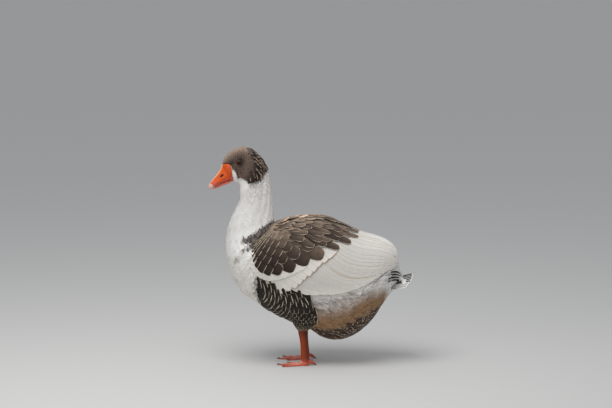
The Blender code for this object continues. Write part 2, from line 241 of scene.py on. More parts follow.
def relief(rib, turn):
    """What stands off the plain outline: the eye's hollow with a brow over it, the cheek, and the neck's
    furrows, which run down and forward round the neck."""
    side = np.abs(turn)
    brow = np.hypot((rib - EYE_RIB - 0.1) * 14, (side - EYE_TURN + 0.36) * 44)
    cheek = np.hypot((rib - 4.6) * 9, (side - 1.95) * 26)
    hollow = 0.9 * hump(brow, 0, 8) - 1.6 * hump(eye_distance(rib, turn), 0, 9.5)
    furrow = np.cos(15 * side - 1.9 * rib) * between(rib, 7.8, 9.2, 12.2, 13.6)
    return hollow + 1.3 * hump(cheek, 0, 12) + 0.5 * furrow


def params_for(by_p, by_q, move):
    """The parameter change that moves a point by that vector along the surface, by least squares."""
    pp, pq, qq = (by_p * by_p).sum(-1), (by_p * by_q).sum(-1), (by_q * by_q).sum(-1)
    mp, mq = (move * by_p).sum(-1), (move * by_q).sum(-1)
    area = np.maximum(pp * qq - pq * pq, 1e-6)
    return np.stack([(qq * mp - pq * mq) / area, (pp * mq - pq * mp) / area], -1)


def sideways(form, track):
    """The parameter change for a millimetre across each station of a track, square to it on the form."""
    _, by_p, by_q, out = lie(form, track[..., 0], track[..., 1])
    step = np.gradient(track, axis=-2)
    along = unit(by_p * step[..., :1] + by_q * step[..., 1:])
    return params_for(by_p, by_q, np.cross(out, along))


def headed(form, p, q, heading, length):
    """The parameter change for a walk of that length from (p, q). A heading of 0 runs with p, and a
    positive one turns towards the belly on both sides."""
    _, by_p, by_q, out = lie(form, p, q)
    ahead = unit(by_p)
    down = np.cross(out, ahead) * np.where(q < 0, -1, 1)[..., None]
    way = ahead * np.cos(heading)[..., None] + down * np.sin(heading)[..., None]
    return params_for(by_p, by_q, way * np.asarray(length)[..., None])


def square_to_row(form, tips, slope, turned, length):
    """The parameter change for a walk square to a row's line of tips, which moves by the slope in p for
    each radian of q. A positive turned leans it towards the belly. The tips are on the side with positive
    q."""
    _, by_p, by_q, out = lie(form, tips[:, 0], tips[:, 1])
    line = unit(by_p * slope[:, None] + by_q)
    ahead = np.cross(line, out)
    way = ahead * np.cos(turned)[:, None] + line * np.sin(turned)[:, None]
    return params_for(by_p, by_q, way * (length * np.ones(len(tips)))[:, None])


# A feather's stations from root to tip, and its half width at each as a share of the widest, for each kind.
KINDS = {
    "contour": ((0, 0.16, 0.42, 0.68, 0.87, 0.965, 1), (0, 0.45, 0.85, 1.0, 0.86, 0.50, 0)),
    "broad": ((0, 0.16, 0.40, 0.64, 0.82, 0.92, 0.975, 1), (0, 0.50, 0.86, 1.0, 0.96, 0.78, 0.48, 0)),
    "blunt": ((0, 0.16, 0.40, 0.64, 0.84, 0.94, 0.98, 1), (0, 0.50, 0.86, 1.0, 1.0, 0.90, 0.64, 0)),
    "lance": ((0, 0.08, 0.2, 0.32, 0.45, 0.58, 0.70, 0.80, 0.88, 0.95, 0.985, 1),
              (0, 0.35, 0.62, 0.78, 0.90, 0.98, 1.0, 0.97, 0.86, 0.62, 0.34, 0)),
    "quill": ((0, 0.06, 0.14, 0.22, 0.31, 0.40, 0.49, 0.58, 0.67, 0.76, 0.84, 0.91, 0.96, 0.99, 1),
              (0, 0.30, 0.55, 0.72, 0.84, 0.90, 0.94, 0.97, 0.99, 1.0, 1.0, 0.93, 0.76, 0.45, 0)),
    "plume": ((0, 0.14, 0.38, 0.62, 0.82, 0.95, 1), (0, 0.50, 0.92, 1.0, 0.76, 0.36, 0)),
    "tuft": ((0, 0.30, 0.70, 0.92, 1), (0, 0.75, 1.0, 0.60, 0)),
}
# A ring's places across, from edge to edge and back under the midrib, and how high each stands for the
# camber.
ACROSS = {
    "tuft": ((-1.0, 0.0, 1.0, 0.0), (0.0, 1.0, 0.0, -0.25)),
    "quill": ((-1.0, -0.85, -0.45, 0.0, 0.45, 0.85, 1.0, 0.0), (0.0, 0.5, 0.85, 1.0, 0.85, 0.5, 0.0, -0.6)),
    "lance": ((-1.0, -0.8, -0.4, 0.0, 0.4, 0.8, 1.0, 0.0), (0.0, 0.5, 0.85, 1.0, 0.85, 0.5, 0.0, -0.6)),
}
PLAIN_ACROSS = ((-1.0, -0.8, 0.0, 0.8, 1.0, 0.0), (0.0, 0.62, 1.0, 0.62, 0.0, -0.25))
# The size of a feather's patch on the bake's map, by the feather's size.
SMALL_PATCH, MIDDLE_PATCH, LONG_PATCH = 0.003, 0.006, 0.012
FRAY = 0.045  # how far the edges of long vanes wander, as a share of their width
MAP_MARGIN = 0.015
SHARP = math.radians(75)  # a mesh's edge that turns more than this is shaded as a crease
SIZE_UNIT = 100  # the material reads a feather's length in this many millimetres


def grid_faces(rows, columns):
    """Quads of a grid of rings: each row is a ring, whose last column joins its first."""
    i, j = grid(np.arange(rows - 1), np.arange(columns))
    k = (j + 1) % columns
    here, ahead = i * columns, (i + 1) * columns
    return np.stack([here + j, here + k, ahead + k, ahead + j], -1).reshape(-1, 4)


def end_fans(rows, columns, before, after, start=0):
    """Triangles that close a grid of rings whose vertices begin at the start: one fan from the vertex
    before to the first ring, and one from the vertex after to the last."""
    j = np.arange(columns)
    k = (j + 1) % columns
    last = (rows - 1) * columns
    near = np.stack([0 * j + before, start + k, start + j], 1)
    far = np.stack([0 * j + after, start + last + j, start + last + k], 1)
    return np.concatenate([near, far])


def placed(name, data):
    """A new object in the scene."""
    obj = bpy.data.objects.new(name, data)
    bpy.context.scene.collection.objects.link(obj)
    return obj


def new_mesh(name, points, quads, fans, material):
    """A smooth-shaded mesh object from arrays, in metres, with every face pointing out."""
    quads, fans = np.asarray(quads, int).reshape(-1, 4), np.asarray(fans, int).reshape(-1, 3)
    tris = np.concatenate([fans, quads[:, [0, 1, 2]], quads[:, [0, 2, 3]]])
    corners = points[tris]
    if np.einsum("ij,ij->i", corners[:, 0], np.cross(corners[:, 1], corners[:, 2])).sum() < 0:
        quads, fans = quads[:, ::-1], fans[:, ::-1]
    mesh = bpy.data.meshes.new(name)
    mesh.vertices.add(len(points))
    mesh.vertices.foreach_set("co", (points * MM).astype(np.float32).ravel())
    loops = np.concatenate([quads.ravel(), fans.ravel()])
    sizes = np.concatenate([np.full(len(quads), 4), np.full(len(fans), 3)])
    mesh.loops.add(len(loops))
    mesh.loops.foreach_set("vertex_index", loops.astype(np.int32))
    mesh.polygons.add(len(sizes))
    mesh.polygons.foreach_set("loop_start", np.concatenate([[0], np.cumsum(sizes)[:-1]]).astype(np.int32))
    mesh.update(calc_edges=True)
    mesh.shade_smooth()
    mesh.set_sharp_from_angle(angle=SHARP)
    mesh.materials.append(material)
    return placed(name, mesh)


def paint(obj, name, values):
    """A colour or number for each vertex, which the material reads by name."""
    values = np.asarray(values, np.float32)
    if values.ndim == 2:
        full = np.ones((len(values), 4), np.float32)
        full[:, : values.shape[1]] = values
        obj.data.attributes.new(name, "FLOAT_COLOR", "POINT").data.foreach_set("color", full.ravel())
    else:
        obj.data.attributes.new(name, "FLOAT", "POINT").data.foreach_set("value", values)


def lay_map(obj, name, places):
    """A UV map from a place for each vertex."""
    vertex = np.empty(len(obj.data.loops), np.int32)
    obj.data.loops.foreach_get("vertex_index", vertex)
    layer = obj.data.uv_layers.new(name=name)
    layer.uv.foreach_set("vector", places[vertex].astype(np.float32).ravel())


def feathers(form, kind, track, width, lift, tint, rim, tip_rim, side_rim, camber=0.9, tilt=0.0,
             patch=SMALL_PATCH, shade=0.0):
    """Closed thin vanes: each ring lies across its track, on the form, as wide as the kind says. The midrib
    stands above the edges by the camber, tilt raises the edge on the belly's side, and shade is painted shade
    on that side and painted light on the other, by that share. The rim is a pale edge of those widths.
    Returns arrays for one batch."""
    stations, shape = np.array(KINDS[kind], float)
    around, height = np.array(ACROSS.get(kind, PLAIN_ACROSS))
    count = len(track)
    width = np.full(count, width, float)
    change = sideways(form, track)
    reach = (width[:, None] / 2 * shape)[..., None] * around
    if kind in ("lance", "quill"):
        reach = reach * (1 + draw.uniform(-FRAY, FRAY, reach.shape))
    p = track[..., 0, None] + change[..., 0, None] * reach
    q = track[..., 1, None] + change[..., 1, None] * reach
    to_belly = np.where(track[:, 0, 1] < 0, -1, 1)
    lean = (tilt * to_belly)[:, None, None]
    stand = lift[..., None] + camber * shape[:, None] * height
    stand = stand + lean * shape[:, None] * around
    inner = raised(form, p[:, 1:-1], q[:, 1:-1], stand[:, 1:-1])
    ends = raised(form, track[:, [0, -1], 0], track[:, [0, -1], 1], lift[:, [0, -1]])
    points = np.concatenate([ends[:, :1], inner.reshape(count, -1, 3), ends[:, 1:]], 1)
    rings = len(stations) - 2  # between the root's vertex, the first, and the tip's, the last
    u = np.broadcast_to((around + 1) / 2, (rings, len(around))).ravel()
    v = np.repeat(stations[1:-1], len(around))
    vane = np.stack([np.concatenate([[0.5], u, [0.5]]), np.concatenate([[0], v, [1]])], 1)
    length = np.linalg.norm(np.diff(form(track[..., 0], track[..., 1]), axis=1), axis=2).sum(1)
    sizes = np.stack([2 * side_rim / width, tip_rim / length, length / SIZE_UNIT], -1)

    def each(values):
        """One triple for all feathers, or one for each, carried to every point."""
        return np.broadcast_to(np.asarray(values, float).reshape(-1, 1, 3), (count, points.shape[1], 3))

    return {
        "points": points,
        "vane": np.broadcast_to(vane, (count, *vane.shape)),
        # painted light and shade: the tint is darker on the belly's side and lighter on the other, by shade
        "tint": each(tint) * (1 - shade * to_belly[:, None] * (2 * vane[:, 0] - 1))[..., None],
        "rim": each(rim),
        "vane_sizes": each(sizes),
        "root": track[:, 0],
        "patch": np.full(count, patch),
        "quads": grid_faces(rings, len(around)) + 1,
        "fans": end_fans(rings, len(around), 0, rings * len(around) + 1, 1),
    }


def on_both_sides(form, kind, track, width, lift, tint, rim, *finish):
    """Vanes, and the same again on the other side, where the turns have the other sign."""
    width = np.full(len(track), width, float)
    twice = [np.concatenate([values, values]) for values in (width, lift, tint, rim)]
    return feathers(form, kind, np.concatenate([track, track * (1, -1)]), *twice, *finish)


def coat(name, batches, material, slot, *nodes):
    """Joins batches of feathers into one piece. Its bake map holds each feather as a small patch at its
    root's place on the unwrapped form: p runs one way and q the other."""
    places = np.concatenate([b["root"] for b in batches])
    low, span = places.min(0), np.ptp(places, axis=0)
    points, quads, fans, bake, start = [], [], [], [], 0
    for b in batches:
        count, per, _ = b["points"].shape
        first = start + np.arange(count)[:, None, None] * per
        quads.append((b["quads"][None] + first).reshape(-1, 4))
        fans.append((b["fans"][None] + first).reshape(-1, 3))
        points.append(b["points"].reshape(-1, 3))
        middle = MAP_MARGIN + (1 - 2 * MAP_MARGIN) * (b["root"] - low) / span
        bake.append((middle[:, None] + (b["vane"] - 0.5) * b["patch"][:, None, None]).reshape(-1, 2))
        start += count * per
    obj = new_mesh(name, np.concatenate(points), np.concatenate(quads), np.concatenate(fans), material)
    lay_map(obj, "OFBake", np.concatenate(bake))
    for key in ("tint", "rim", "vane_sizes"):
        paint(obj, key, np.concatenate([b[key].reshape(-1, 3) for b in batches]))
    lay_map(obj, "vane", np.concatenate([b["vane"].reshape(-1, 2) for b in batches]))
    return belongs(obj, slot, *nodes)


def belongs(obj, slot, *nodes):
    """The piece rides on the body and stands for those nodes. The slot is not used."""
    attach(obj, "root")
    if nodes:
        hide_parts(*nodes)
    return obj


# The folded wing's lower edge and the dark saddle's, as rib and turn.
WING_EDGE = (
    (14.2, 14), (15.0, 56), (15.6, 84), (16.1, 93), (16.9, 103), (17.6, 109), (18.6, 112), (20.1, 112),
    (20.8, 113), (21.5, 109), (22.4, 100), (24.2, 89), (26.0, 81), (27.7, 75), (29.0, 69), (30.0, 58),
)
SADDLE_EDGE = (
    (14.2, 12), (15.0, 58), (15.6, 84), (16.0, 92), (16.9, 99), (17.6, 105), (18.6, 104), (19.5, 98),
    (20.0, 89), (20.5, 80), (21.6, 67), (21.9, 59), (22.8, 45), (23.9, 35), (24.3, 0),
)
# The cap's lower edge as rib and turn, then its rear edge as turn and rib.
CAP_EDGE = ((0.5, 150), (2.8, 136), (5.0, 122), (7.4, 106), (8.4, 80))
CAP_REAR = ((0, 7.9), (10, 8.0), (40, 8.2), (59, 8.5), (75, 8.4), (90, 8.1))
# The next lines are turn and rib: where the white behind the bill ends, where the bill's bare part ends,
# where the shaggy nape starts, and the front and rear edges of the brown mark with painted shadow before
# the saddle and of the flank.
BLAZE_EDGE = (
    (60, -0.5), (68, 1.6), (75, 2.05), (85, 2.3), (97, 2.55), (107, 2.95), (132, 3.15), (150, 3.3),
    (180, 3.4),
)
BILL_REAR = (
    (0, 0.0), (30, 0.25), (47, 0.9), (59, 1.45), (69, 1.85), (76, 2.0), (86, 1.95), (99, 1.75), (114, 1.45),
    (143, 0.75), (165, 0.2), (180, 0.0),
)
NAPE_FRONT = ((0, 4.3), (44, 4.7), (59, 5.9), (80, 6.3), (108, 6.3), (130, 7.1))
SMUDGE_AND_SHADOW_FRONT = (
    (15, 13.2), (40, 13.3), (52, 13.55), (64, 13.75), (80, 14.15), (93, 14.35), (105, 14.45), (116, 14.6),
)
SMUDGE_AND_SHADOW_REAR = ((15, 15.8), (84, 15.8), (92, 15.45), (98, 15.2), (107, 14.95), (116, 14.75))
FLANK_FRONT = ((112, 17.9), (140, 18.5), (165, 19.2))
FLANK_BACK = ((104, 21.0), (112, 21.45), (119, 22.1), (124, 22.4), (132, 22.4), (147, 22.2), (172, 21.8))
# The upper edges of the paunch's brown part, partly its own colour and partly painted warm shade, and of
# the dark band under it, as rib and turn.
PAUNCH_BROWN_AND_SHADE = ((22.2, 127), (23.4, 117), (24.5, 109), (25.7, 101), (26.6, 104), (27.6, 111), (29.0, 128))
UNDER_EDGE = ((22.2, 155), (23.4, 140), (24.5, 134), (25.6, 128), (27.0, 132), (28.0, 142))


def edge(line, at):
    """Where a line of point pairs runs at those first values."""
    return np.interp(at, *np.array(line, float).T)


def wing_over(rib, turn):
    """How many degrees inside the folded wing's lower edge a place lies."""
    inside = edge(WING_EDGE, rib) - np.degrees(np.abs(turn))
    return np.where((rib > 14.2) & (rib < 30.2), inside, -90)


def markings(rib, turn):
    """The bird's colours at a place on the body form, and how mottled it is there, from 0 to 1. Each
    marking is a product of S-shaped steps in rib and turn, laid over the ones before it: breast, throat,
    painted shade on the neck, the brown mark before the saddle with painted shadow, paunch, whose brown
    lower part is partly painted warm shade, the dark band under it, flank, the saddle's down darkened as
    painted shade, and cap, whose crown is paler partly as painted light."""
    t = np.degrees(np.abs(turn))
    tint = np.broadcast_to(WHITE, rib.shape + (3,))
    lower_breast = between(rib, 15.2, 16.6, 18.2, 19.4) * smooth(t, 104, 132)
    tint = toward(tint, BEIGE, 0.15 * lower_breast)
    throat = between(rib, 12, 14.5, 15.2, 16.6) * smooth(t, 120, 150)
    tint = toward(tint, BEIGE, 0.1 * throat)
    # painted shade: the neck's sides and front are darkened, as in shade
    painted_neck_shade = between(rib, 7, 9, 13.2, 15.0) * smooth(t, 35, 75)
    tint = tint * (1 - 0.2 * painted_neck_shade)[..., None]
    # the brown mark before the saddle and its streaks: partly the bird's own colour, partly painted shadow
    # cast by the neck
    before_rear = 1 - smooth(rib - edge(SMUDGE_AND_SHADOW_REAR, t), -0.15, 0.15)
    smudge_and_shadow = smooth(rib - edge(SMUDGE_AND_SHADOW_FRONT, t), -0.25, 0.4) * before_rear * between(t, 4, 20, 108, 119)
    second = hump(rib, 15.7, np.interp(t, (80, 118), (0.4, 0.12))) * between(t, 78, 86, 109, 120)
    third = 0.6 * hump(rib, 16.1, 0.15) * between(t, 119, 124, 135, 143)
    smudge_and_shadow = np.maximum(smudge_and_shadow, np.maximum(second, third))
    tint = toward(tint, SMUDGE_AND_SHADOW, 0.96 * smudge_and_shadow)
    mottled = between(rib, 7.9, 8.5, 9.6, 11.6) * (1 - smooth(t, 100, 140))
    mottled = np.maximum(mottled, np.maximum(0.8 * smudge_and_shadow, 0.3 * lower_breast))
    behind = paunch_at(rib, t)
    tint = toward(tint, PAUNCH, 0.85 * behind * smooth(t, 90, 104) * (1 - smooth(rib, 25.5, 27.5)))
    # painted warm shade: below its brown edge the paunch turns brown and darker, partly its own colour
    tint = toward(tint, BUFF_AND_SHADE, behind * (0.08 + 0.92 * smooth(t - edge(PAUNCH_BROWN_AND_SHADE, rib), -17, 11)))
    under = smooth(t, edge(UNDER_EDGE, rib) - 4, edge(UNDER_EDGE, rib) + 3) * smooth(rib, 22.0, 22.5)
    under *= (1 - smooth(rib, 27.5, 28.3)) * (1 - 0.75 * smooth(t, 158, 174))
    tint = toward(tint, UNDER, under)
    flank = flank_at(rib, turn)
    tint = toward(tint, FLANK, flank)
    # painted shade: the down under the saddle is its colour darkened, so gaps between the coverts read as
    # shadow
    saddle = smooth(edge(SADDLE_EDGE, rib) - t, -2, 2) * (rib > 14.2) * (rib < 24.4)
    tint = toward(tint, SADDLE * 0.6, saddle)
    cap = smooth(edge(CAP_EDGE, rib) - t, -3, 3) * (1 - smooth(rib - edge(CAP_REAR, t), -0.15, 0.15))
    cap *= smooth(rib, edge(BLAZE_EDGE, t) - 0.15, edge(BLAZE_EDGE, t) + 0.15)
    tint = toward(tint, head_colour(rib, t), cap)
    mottled = np.maximum(mottled * (1 - cap), 0.8 * cap * smooth(rib, 5.4, 7.2))
    return tint, np.where(flank > 0.3, 0, mottled)


def flank_at(rib, turn):
    """Where the dark flank is, from 0 to 1."""
    t = np.degrees(np.abs(turn))
    front, back = edge(FLANK_FRONT, t), edge(FLANK_BACK, t)
    along = between(rib, front - 0.2, front + 0.2, back - 0.1, back + 0.1)
    return along * (1 - smooth(t, 160, 174)) * (t > 100)


def paunch_at(rib, t):
    """Where the soft paunch is, from 0 to 1."""
    behind = rib - edge(FLANK_BACK, t)
    return smooth(behind, -0.8, -0.1) * smooth(t, 84, 98) * (1 - smooth(rib, 28.2, 29.2))


def head_colour(rib, t):
    """The cap: taupe, paler on the crown, dark before the eye and on the nape."""
    # painted light: the crown is paler, partly in its own colour and partly as light falling from above
    colour = toward(HEAD, CROWN_AND_TOP_LIGHT, (1 - smooth(t, 14, 56)) * (1 - smooth(rib, 4.6, 6.6)))
    colour = toward(colour, NAPE, 0.85 * smooth(rib, 5.2, 7.4) * smooth(t, 12, 50))
    lores = np.maximum(hump(rib, 2.2, 1.5) * hump(t, 70, 14), 0.6 * hump(rib, 3.1, 0.7) * hump(t, 100, 30))
    round_eye = hump(eye_distance(rib, np.radians(t)), 0, 15)
    return toward(colour, NAPE, 0.9 * np.maximum(lores, round_eye))


def shader(name, roughness, **fixed):
    """A node material with a Principled shader, whose plain numbers are set on its own sockets, and short
    ways to add to it."""
    material = bpy.data.materials.new(name)
    material.use_nodes = True
    bsdf = material.node_tree.nodes["Principled BSDF"]
    bsdf.inputs["Roughness"].default_value = roughness
    for socket, value in fixed.items():
        bsdf.inputs[socket.replace("_", " ")].default_value = value
    return material, bsdf, Nodes(material.node_tree)


class Nodes:
    """Short ways to add and join the nodes of one material."""

    def __init__(self, tree):
        """Holds the node tree to add to."""
        self.tree = tree

    def add(self, kind, **settings):
        """A new node of that kind, with its settings."""
        node = self.tree.nodes.new("ShaderNode" + kind)
        for key, value in settings.items():
            setattr(node, key, value)
        return node

    def feed(self, value, socket):
        """Joins another node's output to the socket, or sets its plain value."""
        if isinstance(value, bpy.types.NodeSocket):
            self.tree.links.new(value, socket)
        else:
            socket.default_value = value

    def math(self, operation, a, b=0.0, c=0.0):
        """One sum of up to three numbers."""
        node = self.add("Math", operation=operation)
        for value, socket in zip((a, b, c), node.inputs):
            self.feed(value, socket)
        return node.outputs[0]

    def times(self, a, b):
        """The product of two numbers."""
        return self.math("MULTIPLY", a, b)

    def ramp(self, value, low, high, to_low=0.0, to_high=1.0):
        """An S-shaped change from one number to another while the value goes from low to high."""
        node = self.add("MapRange", interpolation_type="SMOOTHSTEP")
        for v, socket in zip((value, low, high, to_low, to_high), node.inputs):
            self.feed(v, socket)
        return node.outputs[0]

    def mix(self, share, a, b):
        """The first colour moved to the second by that share."""
        node = self.add("Mix", data_type="RGBA", blend_type="MIX")
        self.feed(share, node.inputs[0])
        for value, socket in ((a, node.inputs[6]), (b, node.inputs[7])):
            self.feed(value if isinstance(value, bpy.types.NodeSocket) else (*value, 1), socket)
        return node.outputs[2]

    def attribute(self, name):
        """A colour painted on the mesh."""
        return self.add("Attribute", attribute_name=name).outputs["Color"]

    def place(self):
        """Object coordinates in millimetres."""
        node = self.add("Mapping")
        node.inputs["Scale"].default_value = (1 / MM, 1 / MM, 1 / MM)
        self.tree.links.new(self.add("TexCoord").outputs["Object"], node.inputs["Vector"])
        return node.outputs[0]

    def noise(self, vector, size, detail=2.0, roughness=0.5):
        """Noise whose lumps are about that many of the vector's units across."""
        node = self.add("TexNoise")
        self.feed(vector, node.inputs["Vector"])
        node.inputs["Scale"].default_value = 1 / size
        node.inputs["Detail"].default_value = detail
        node.inputs["Roughness"].default_value = roughness
        return node.outputs["Fac"]

    def bump(self, height, depth, bsdf):
        """Relief of that many millimetres."""
        node = self.add("Bump")
        node.inputs["Strength"].default_value = 1.0
        node.inputs["Distance"].default_value = depth * MM
        self.feed(height, node.inputs["Height"])
        self.tree.links.new(node.outputs[0], bsdf.inputs["Normal"])


def plumage_material(name, barb_depth, uneven, root_shade):
    """A vane: its own tint, streaked, with painted shade that darkens it towards the root, where the feather
    above covers it, a pale rim along the sides and tip, a fine shaft line and slanting barbs. The vane
    map's first place runs across and its second from root to tip, and vane_sizes holds the side rim's share
    of the half width, the tip rim's share of the length, and the length."""
    material, bsdf, n = shader(name, 0.72, Sheen_Weight=0.03, Sheen_Roughness=0.45, Specular_IOR_Level=0.22)
    uv = n.add("SeparateXYZ")
    n.feed(n.add("UVMap", uv_map="vane").outputs[0], uv.inputs[0])
    aside = n.math("ABSOLUTE", n.math("MULTIPLY_ADD", uv.outputs[0], 2.0, -1.0))
    along = uv.outputs[1]
    sizes = n.add("SeparateColor")
    n.feed(n.attribute("vane_sizes"), sizes.inputs[0])
    side_share, tip_share, length = sizes.outputs

    def edged(place, share):
        """1 on the rim that takes up that share before place 1, and 0 inside it, with a soft inner edge."""
        return n.ramp(place, n.math("SUBTRACT", 1.0, share), n.math("MULTIPLY_ADD", share, -0.55, 1.0))

    side = edged(aside, side_share)
    side = n.times(side, n.ramp(along, n.math("MULTIPLY_ADD", length, 0.25, 0.3), 0.9))
    rim = n.math("MAXIMUM", side, edged(along, tip_share))
    rim = n.times(rim, n.ramp(tip_share, 0.0, 0.005))
    slant = n.times(n.math("MULTIPLY_ADD", aside, -0.22, along), length)
    across = n.add("CombineXYZ")
    n.feed(n.times(uv.outputs[0], 1.6), across.inputs[0])
    n.feed(n.times(slant, 42.0), across.inputs[1])
    n.feed(n.times(length, 57.0), across.inputs[2])
    streak = n.noise(across.outputs[0], 1.0, 2.0, 0.6)
    tone = n.math("MULTIPLY_ADD", streak, 0.6, n.times(n.noise(n.place(), 9.0, 3.0), 0.4))
    colour = n.mix(n.ramp(tone, 0.34, 0.66, 0.0, uneven), n.attribute("tint"), (0.02, 0.015, 0.01))
    shaft = n.times(n.ramp(aside, 0.0, 0.07, 1.0, 0.0), 0.16)
    colour = n.mix(shaft, colour, (0.02, 0.015, 0.01))
    # painted shade: darker towards the root by root_shade, as under the feather above
    colour = n.mix(n.ramp(along, 0.3, 1.0, root_shade, 0.0), colour, (0.01, 0.008, 0.006))
    n.feed(n.mix(rim, colour, n.attribute("rim")), bsdf.inputs["Base Color"])
    n.bump(n.math("SINE", n.times(slant, 430.0)), barb_depth, bsdf)
    return material


def skin_material():
    """Down under the vanes: the markings' tint, broken by fine noise, which also stands in for its
    tufts."""
    material, bsdf, n = shader("down", 0.85, Sheen_Weight=0.1)
    grain = n.noise(n.place(), 1.6, 4.0, 0.7)
    colour = n.mix(n.ramp(grain, 0.3, 0.75, 0.0, 0.4), n.attribute("tint"), (0.0, 0.0, 0.0))
    n.feed(colour, bsdf.inputs["Base Color"])
    n.bump(grain, 0.5, bsdf)
    return material


def closed(name, points, tint, material):
    """A closed piece over a grid of rings: a point in the middle of each end ring, with a fan round it. The
    tint is one colour, or one for each point."""
    rows, columns, _ = points.shape
    count = rows * columns
    whole = np.concatenate([points.reshape(-1, 3), [points[0].mean(0), points[-1].mean(0)]])
    fans = end_fans(rows, columns, count, count + 1)
    obj = new_mesh(name, whole, grid_faces(rows, columns), fans, material)
    tint = np.broadcast_to(tint, points.shape)
    paint(obj, "tint", np.concatenate([tint.reshape(-1, 3), tint[[0, -1], 0]]))
    return obj


def coat_depth(rib, turn):
    """How far the skin lies under the feathers' outer face: thin on the head, deep on the body, and deeper
    under the folded wing, which stands off the body."""
    depth = np.interp(rib, (0, 2, 7, 10, 14, 31), (1.6, 2.2, 3.2, 4.5, 7.0, 6.0))
    return depth + 5.0 * smooth(wing_over(rib, turn), -16, 0)


SKIN_ROWS, SKIN_COLUMNS = 8, 128  # rows for each rib, and round the body
THIGH_DOWN = 3.0  # how deep the skin lies under the thigh's feathers


def skin(material):
    """One skin over head, neck, trunk and both thighs: the plain forms less the coat's depth, made one
    body."""
    rib, turn = grid(np.linspace(0, LAST_RIB, SKIN_ROWS * LAST_RIB + 1), turns_round(SKIN_COLUMNS, -np.pi))
    obj = closed("skin", raised(body, rib, turn, -coat_depth(rib, turn)), markings(rib, turn)[0], material)
    down, turn = grid(np.linspace(0.2, len(THIGH) - 1, 40), turns_round(48, -np.pi))
    for sign in (1, -1):
        points = raised(thigh_on(sign), down, turn, np.full(down.shape, -THIGH_DOWN))
        thigh = closed("thigh", points, FLANK, material)
        join = obj.modifiers.new("thigh", "BOOLEAN")
        join.operation, join.object = "UNION", thigh
        made = bpy.data.meshes.new_from_object(obj.evaluated_get(bpy.context.evaluated_depsgraph_get()))
        obj.modifiers.clear()
        obj.data = made
        bpy.data.objects.remove(thigh)
    return belongs(obj, "white_plumage", "head", "neck_upper", "neck_lower", "trunk")


def straight(start, change, kind):
    """Tracks from starts, moving by the change over the kind's stations."""
    along = np.array(KINDS[kind][0])[:, None]
    return start[:, None] + change[:, None] * along


def rows_down(first, last, meridians, exposure):
    """Places for tufts along lines of equal turn, from the first rib to the last: a step along each line is
    the exposure there, and every other line is half a step behind."""
    fine = np.linspace(first, last, 700)
    places = []
    for k, turn in enumerate((np.arange(meridians) + 0.5) / meridians * 2 * np.pi - np.pi):
        at = body(fine, np.full_like(fine, turn))
        run = np.linalg.norm(np.diff(at, axis=0), axis=1) / exposure((fine[1:] + fine[:-1]) / 2)
        steps = np.concatenate([[0], np.cumsum(run)])
        rib = np.interp(np.arange(0.5 * (k % 2), steps[-1]), steps, fine)
        places.append(np.stack([rib, np.full_like(rib, turn)], 1))
    return np.concatenate(places)


def spaced(count, jitter):
    """Random steps of up to the jitter, either way."""
    return draw.uniform(-jitter, jitter, count)


BROWN_SHARE = np.array((0.27, 0.20, 0.14))  # what turns a pale tint brown


def varied(colour, low, high, count):
    """A colour for each feather, dimmer or brighter by its own random share."""
    return colour * draw.uniform(low, high, count)[:, None]


def lay_tufts(kind, places, length, width, rise, camber):
    """Tufts of the plain coat, each heading down its line, root low and tip at the surface. Their tint is
    the markings' at their tip, with fine bars on the head, dark tufts where the coat is mottled, and soft
    shadows."""
    count = len(places)
    p, q = places[:, 0] + spaced(count, 0.04), places[:, 1]
    change = headed(body, p, q, spaced(count, 0.14), length)
    keep = p + change[:, 0] < LAST_RIB - 0.05
    p, q, change, width, rise = [a[keep] for a in (p, q, change, width, rise)]
    count = len(p)
    track = straight(np.stack([p, q], 1), change, kind)
    tint, mottled = markings(p + 0.85 * change[:, 0], q + 0.85 * change[:, 1])
    even = smooth(tint.mean(-1), 0.15, 0.6)
    bars = np.sin(20 * p + 2.4 * np.sin(7 * q) + 1.6 * np.sin(23 * q + 3 * p)) * (1 - even) * (p < 9)
    tint = tint * (1 + 0.26 * bars)[:, None]
    dark = draw.uniform(0, 1, count) < mottled * 0.6 * (1 - even)
    tint = np.where(dark[:, None], tint * 0.42, tint)
    brown = mottled * even * draw.uniform(0.0, 1.0, count)
    rims = tint * toward((1.5 - 0.5 * even)[:, None] * np.ones(3), BROWN_SHARE, brown)
    # painted shade: soft waves of darker tint from the neck down, as shadows in the coat's furrows
    soft = np.sin(3.1 * p + 7 * np.abs(q)) * np.sin(1.9 * p - 9 * np.abs(q) + 1)
    tint = tint * (1 - 0.13 * soft.clip(0, 1) * smooth(p, 9, 11))[:, None]
    tint = tint * (1 + draw.uniform(-1, 1, count) * (0.24 - 0.20 * even + 0.1 * mottled * even))[:, None]
    tuck = 5.0 * smooth(wing_over(p, q), -26, -4)
    fall = (1 - np.array(KINDS[kind][0])) ** 0.9
    lift = -rise[:, None] * fall - (tuck + spaced(count, 0.05) * rise)[:, None]
    return feathers(body, kind, track, width, lift, tint, rims, 1.8, 1.2, camber, spaced(count, 0.12))


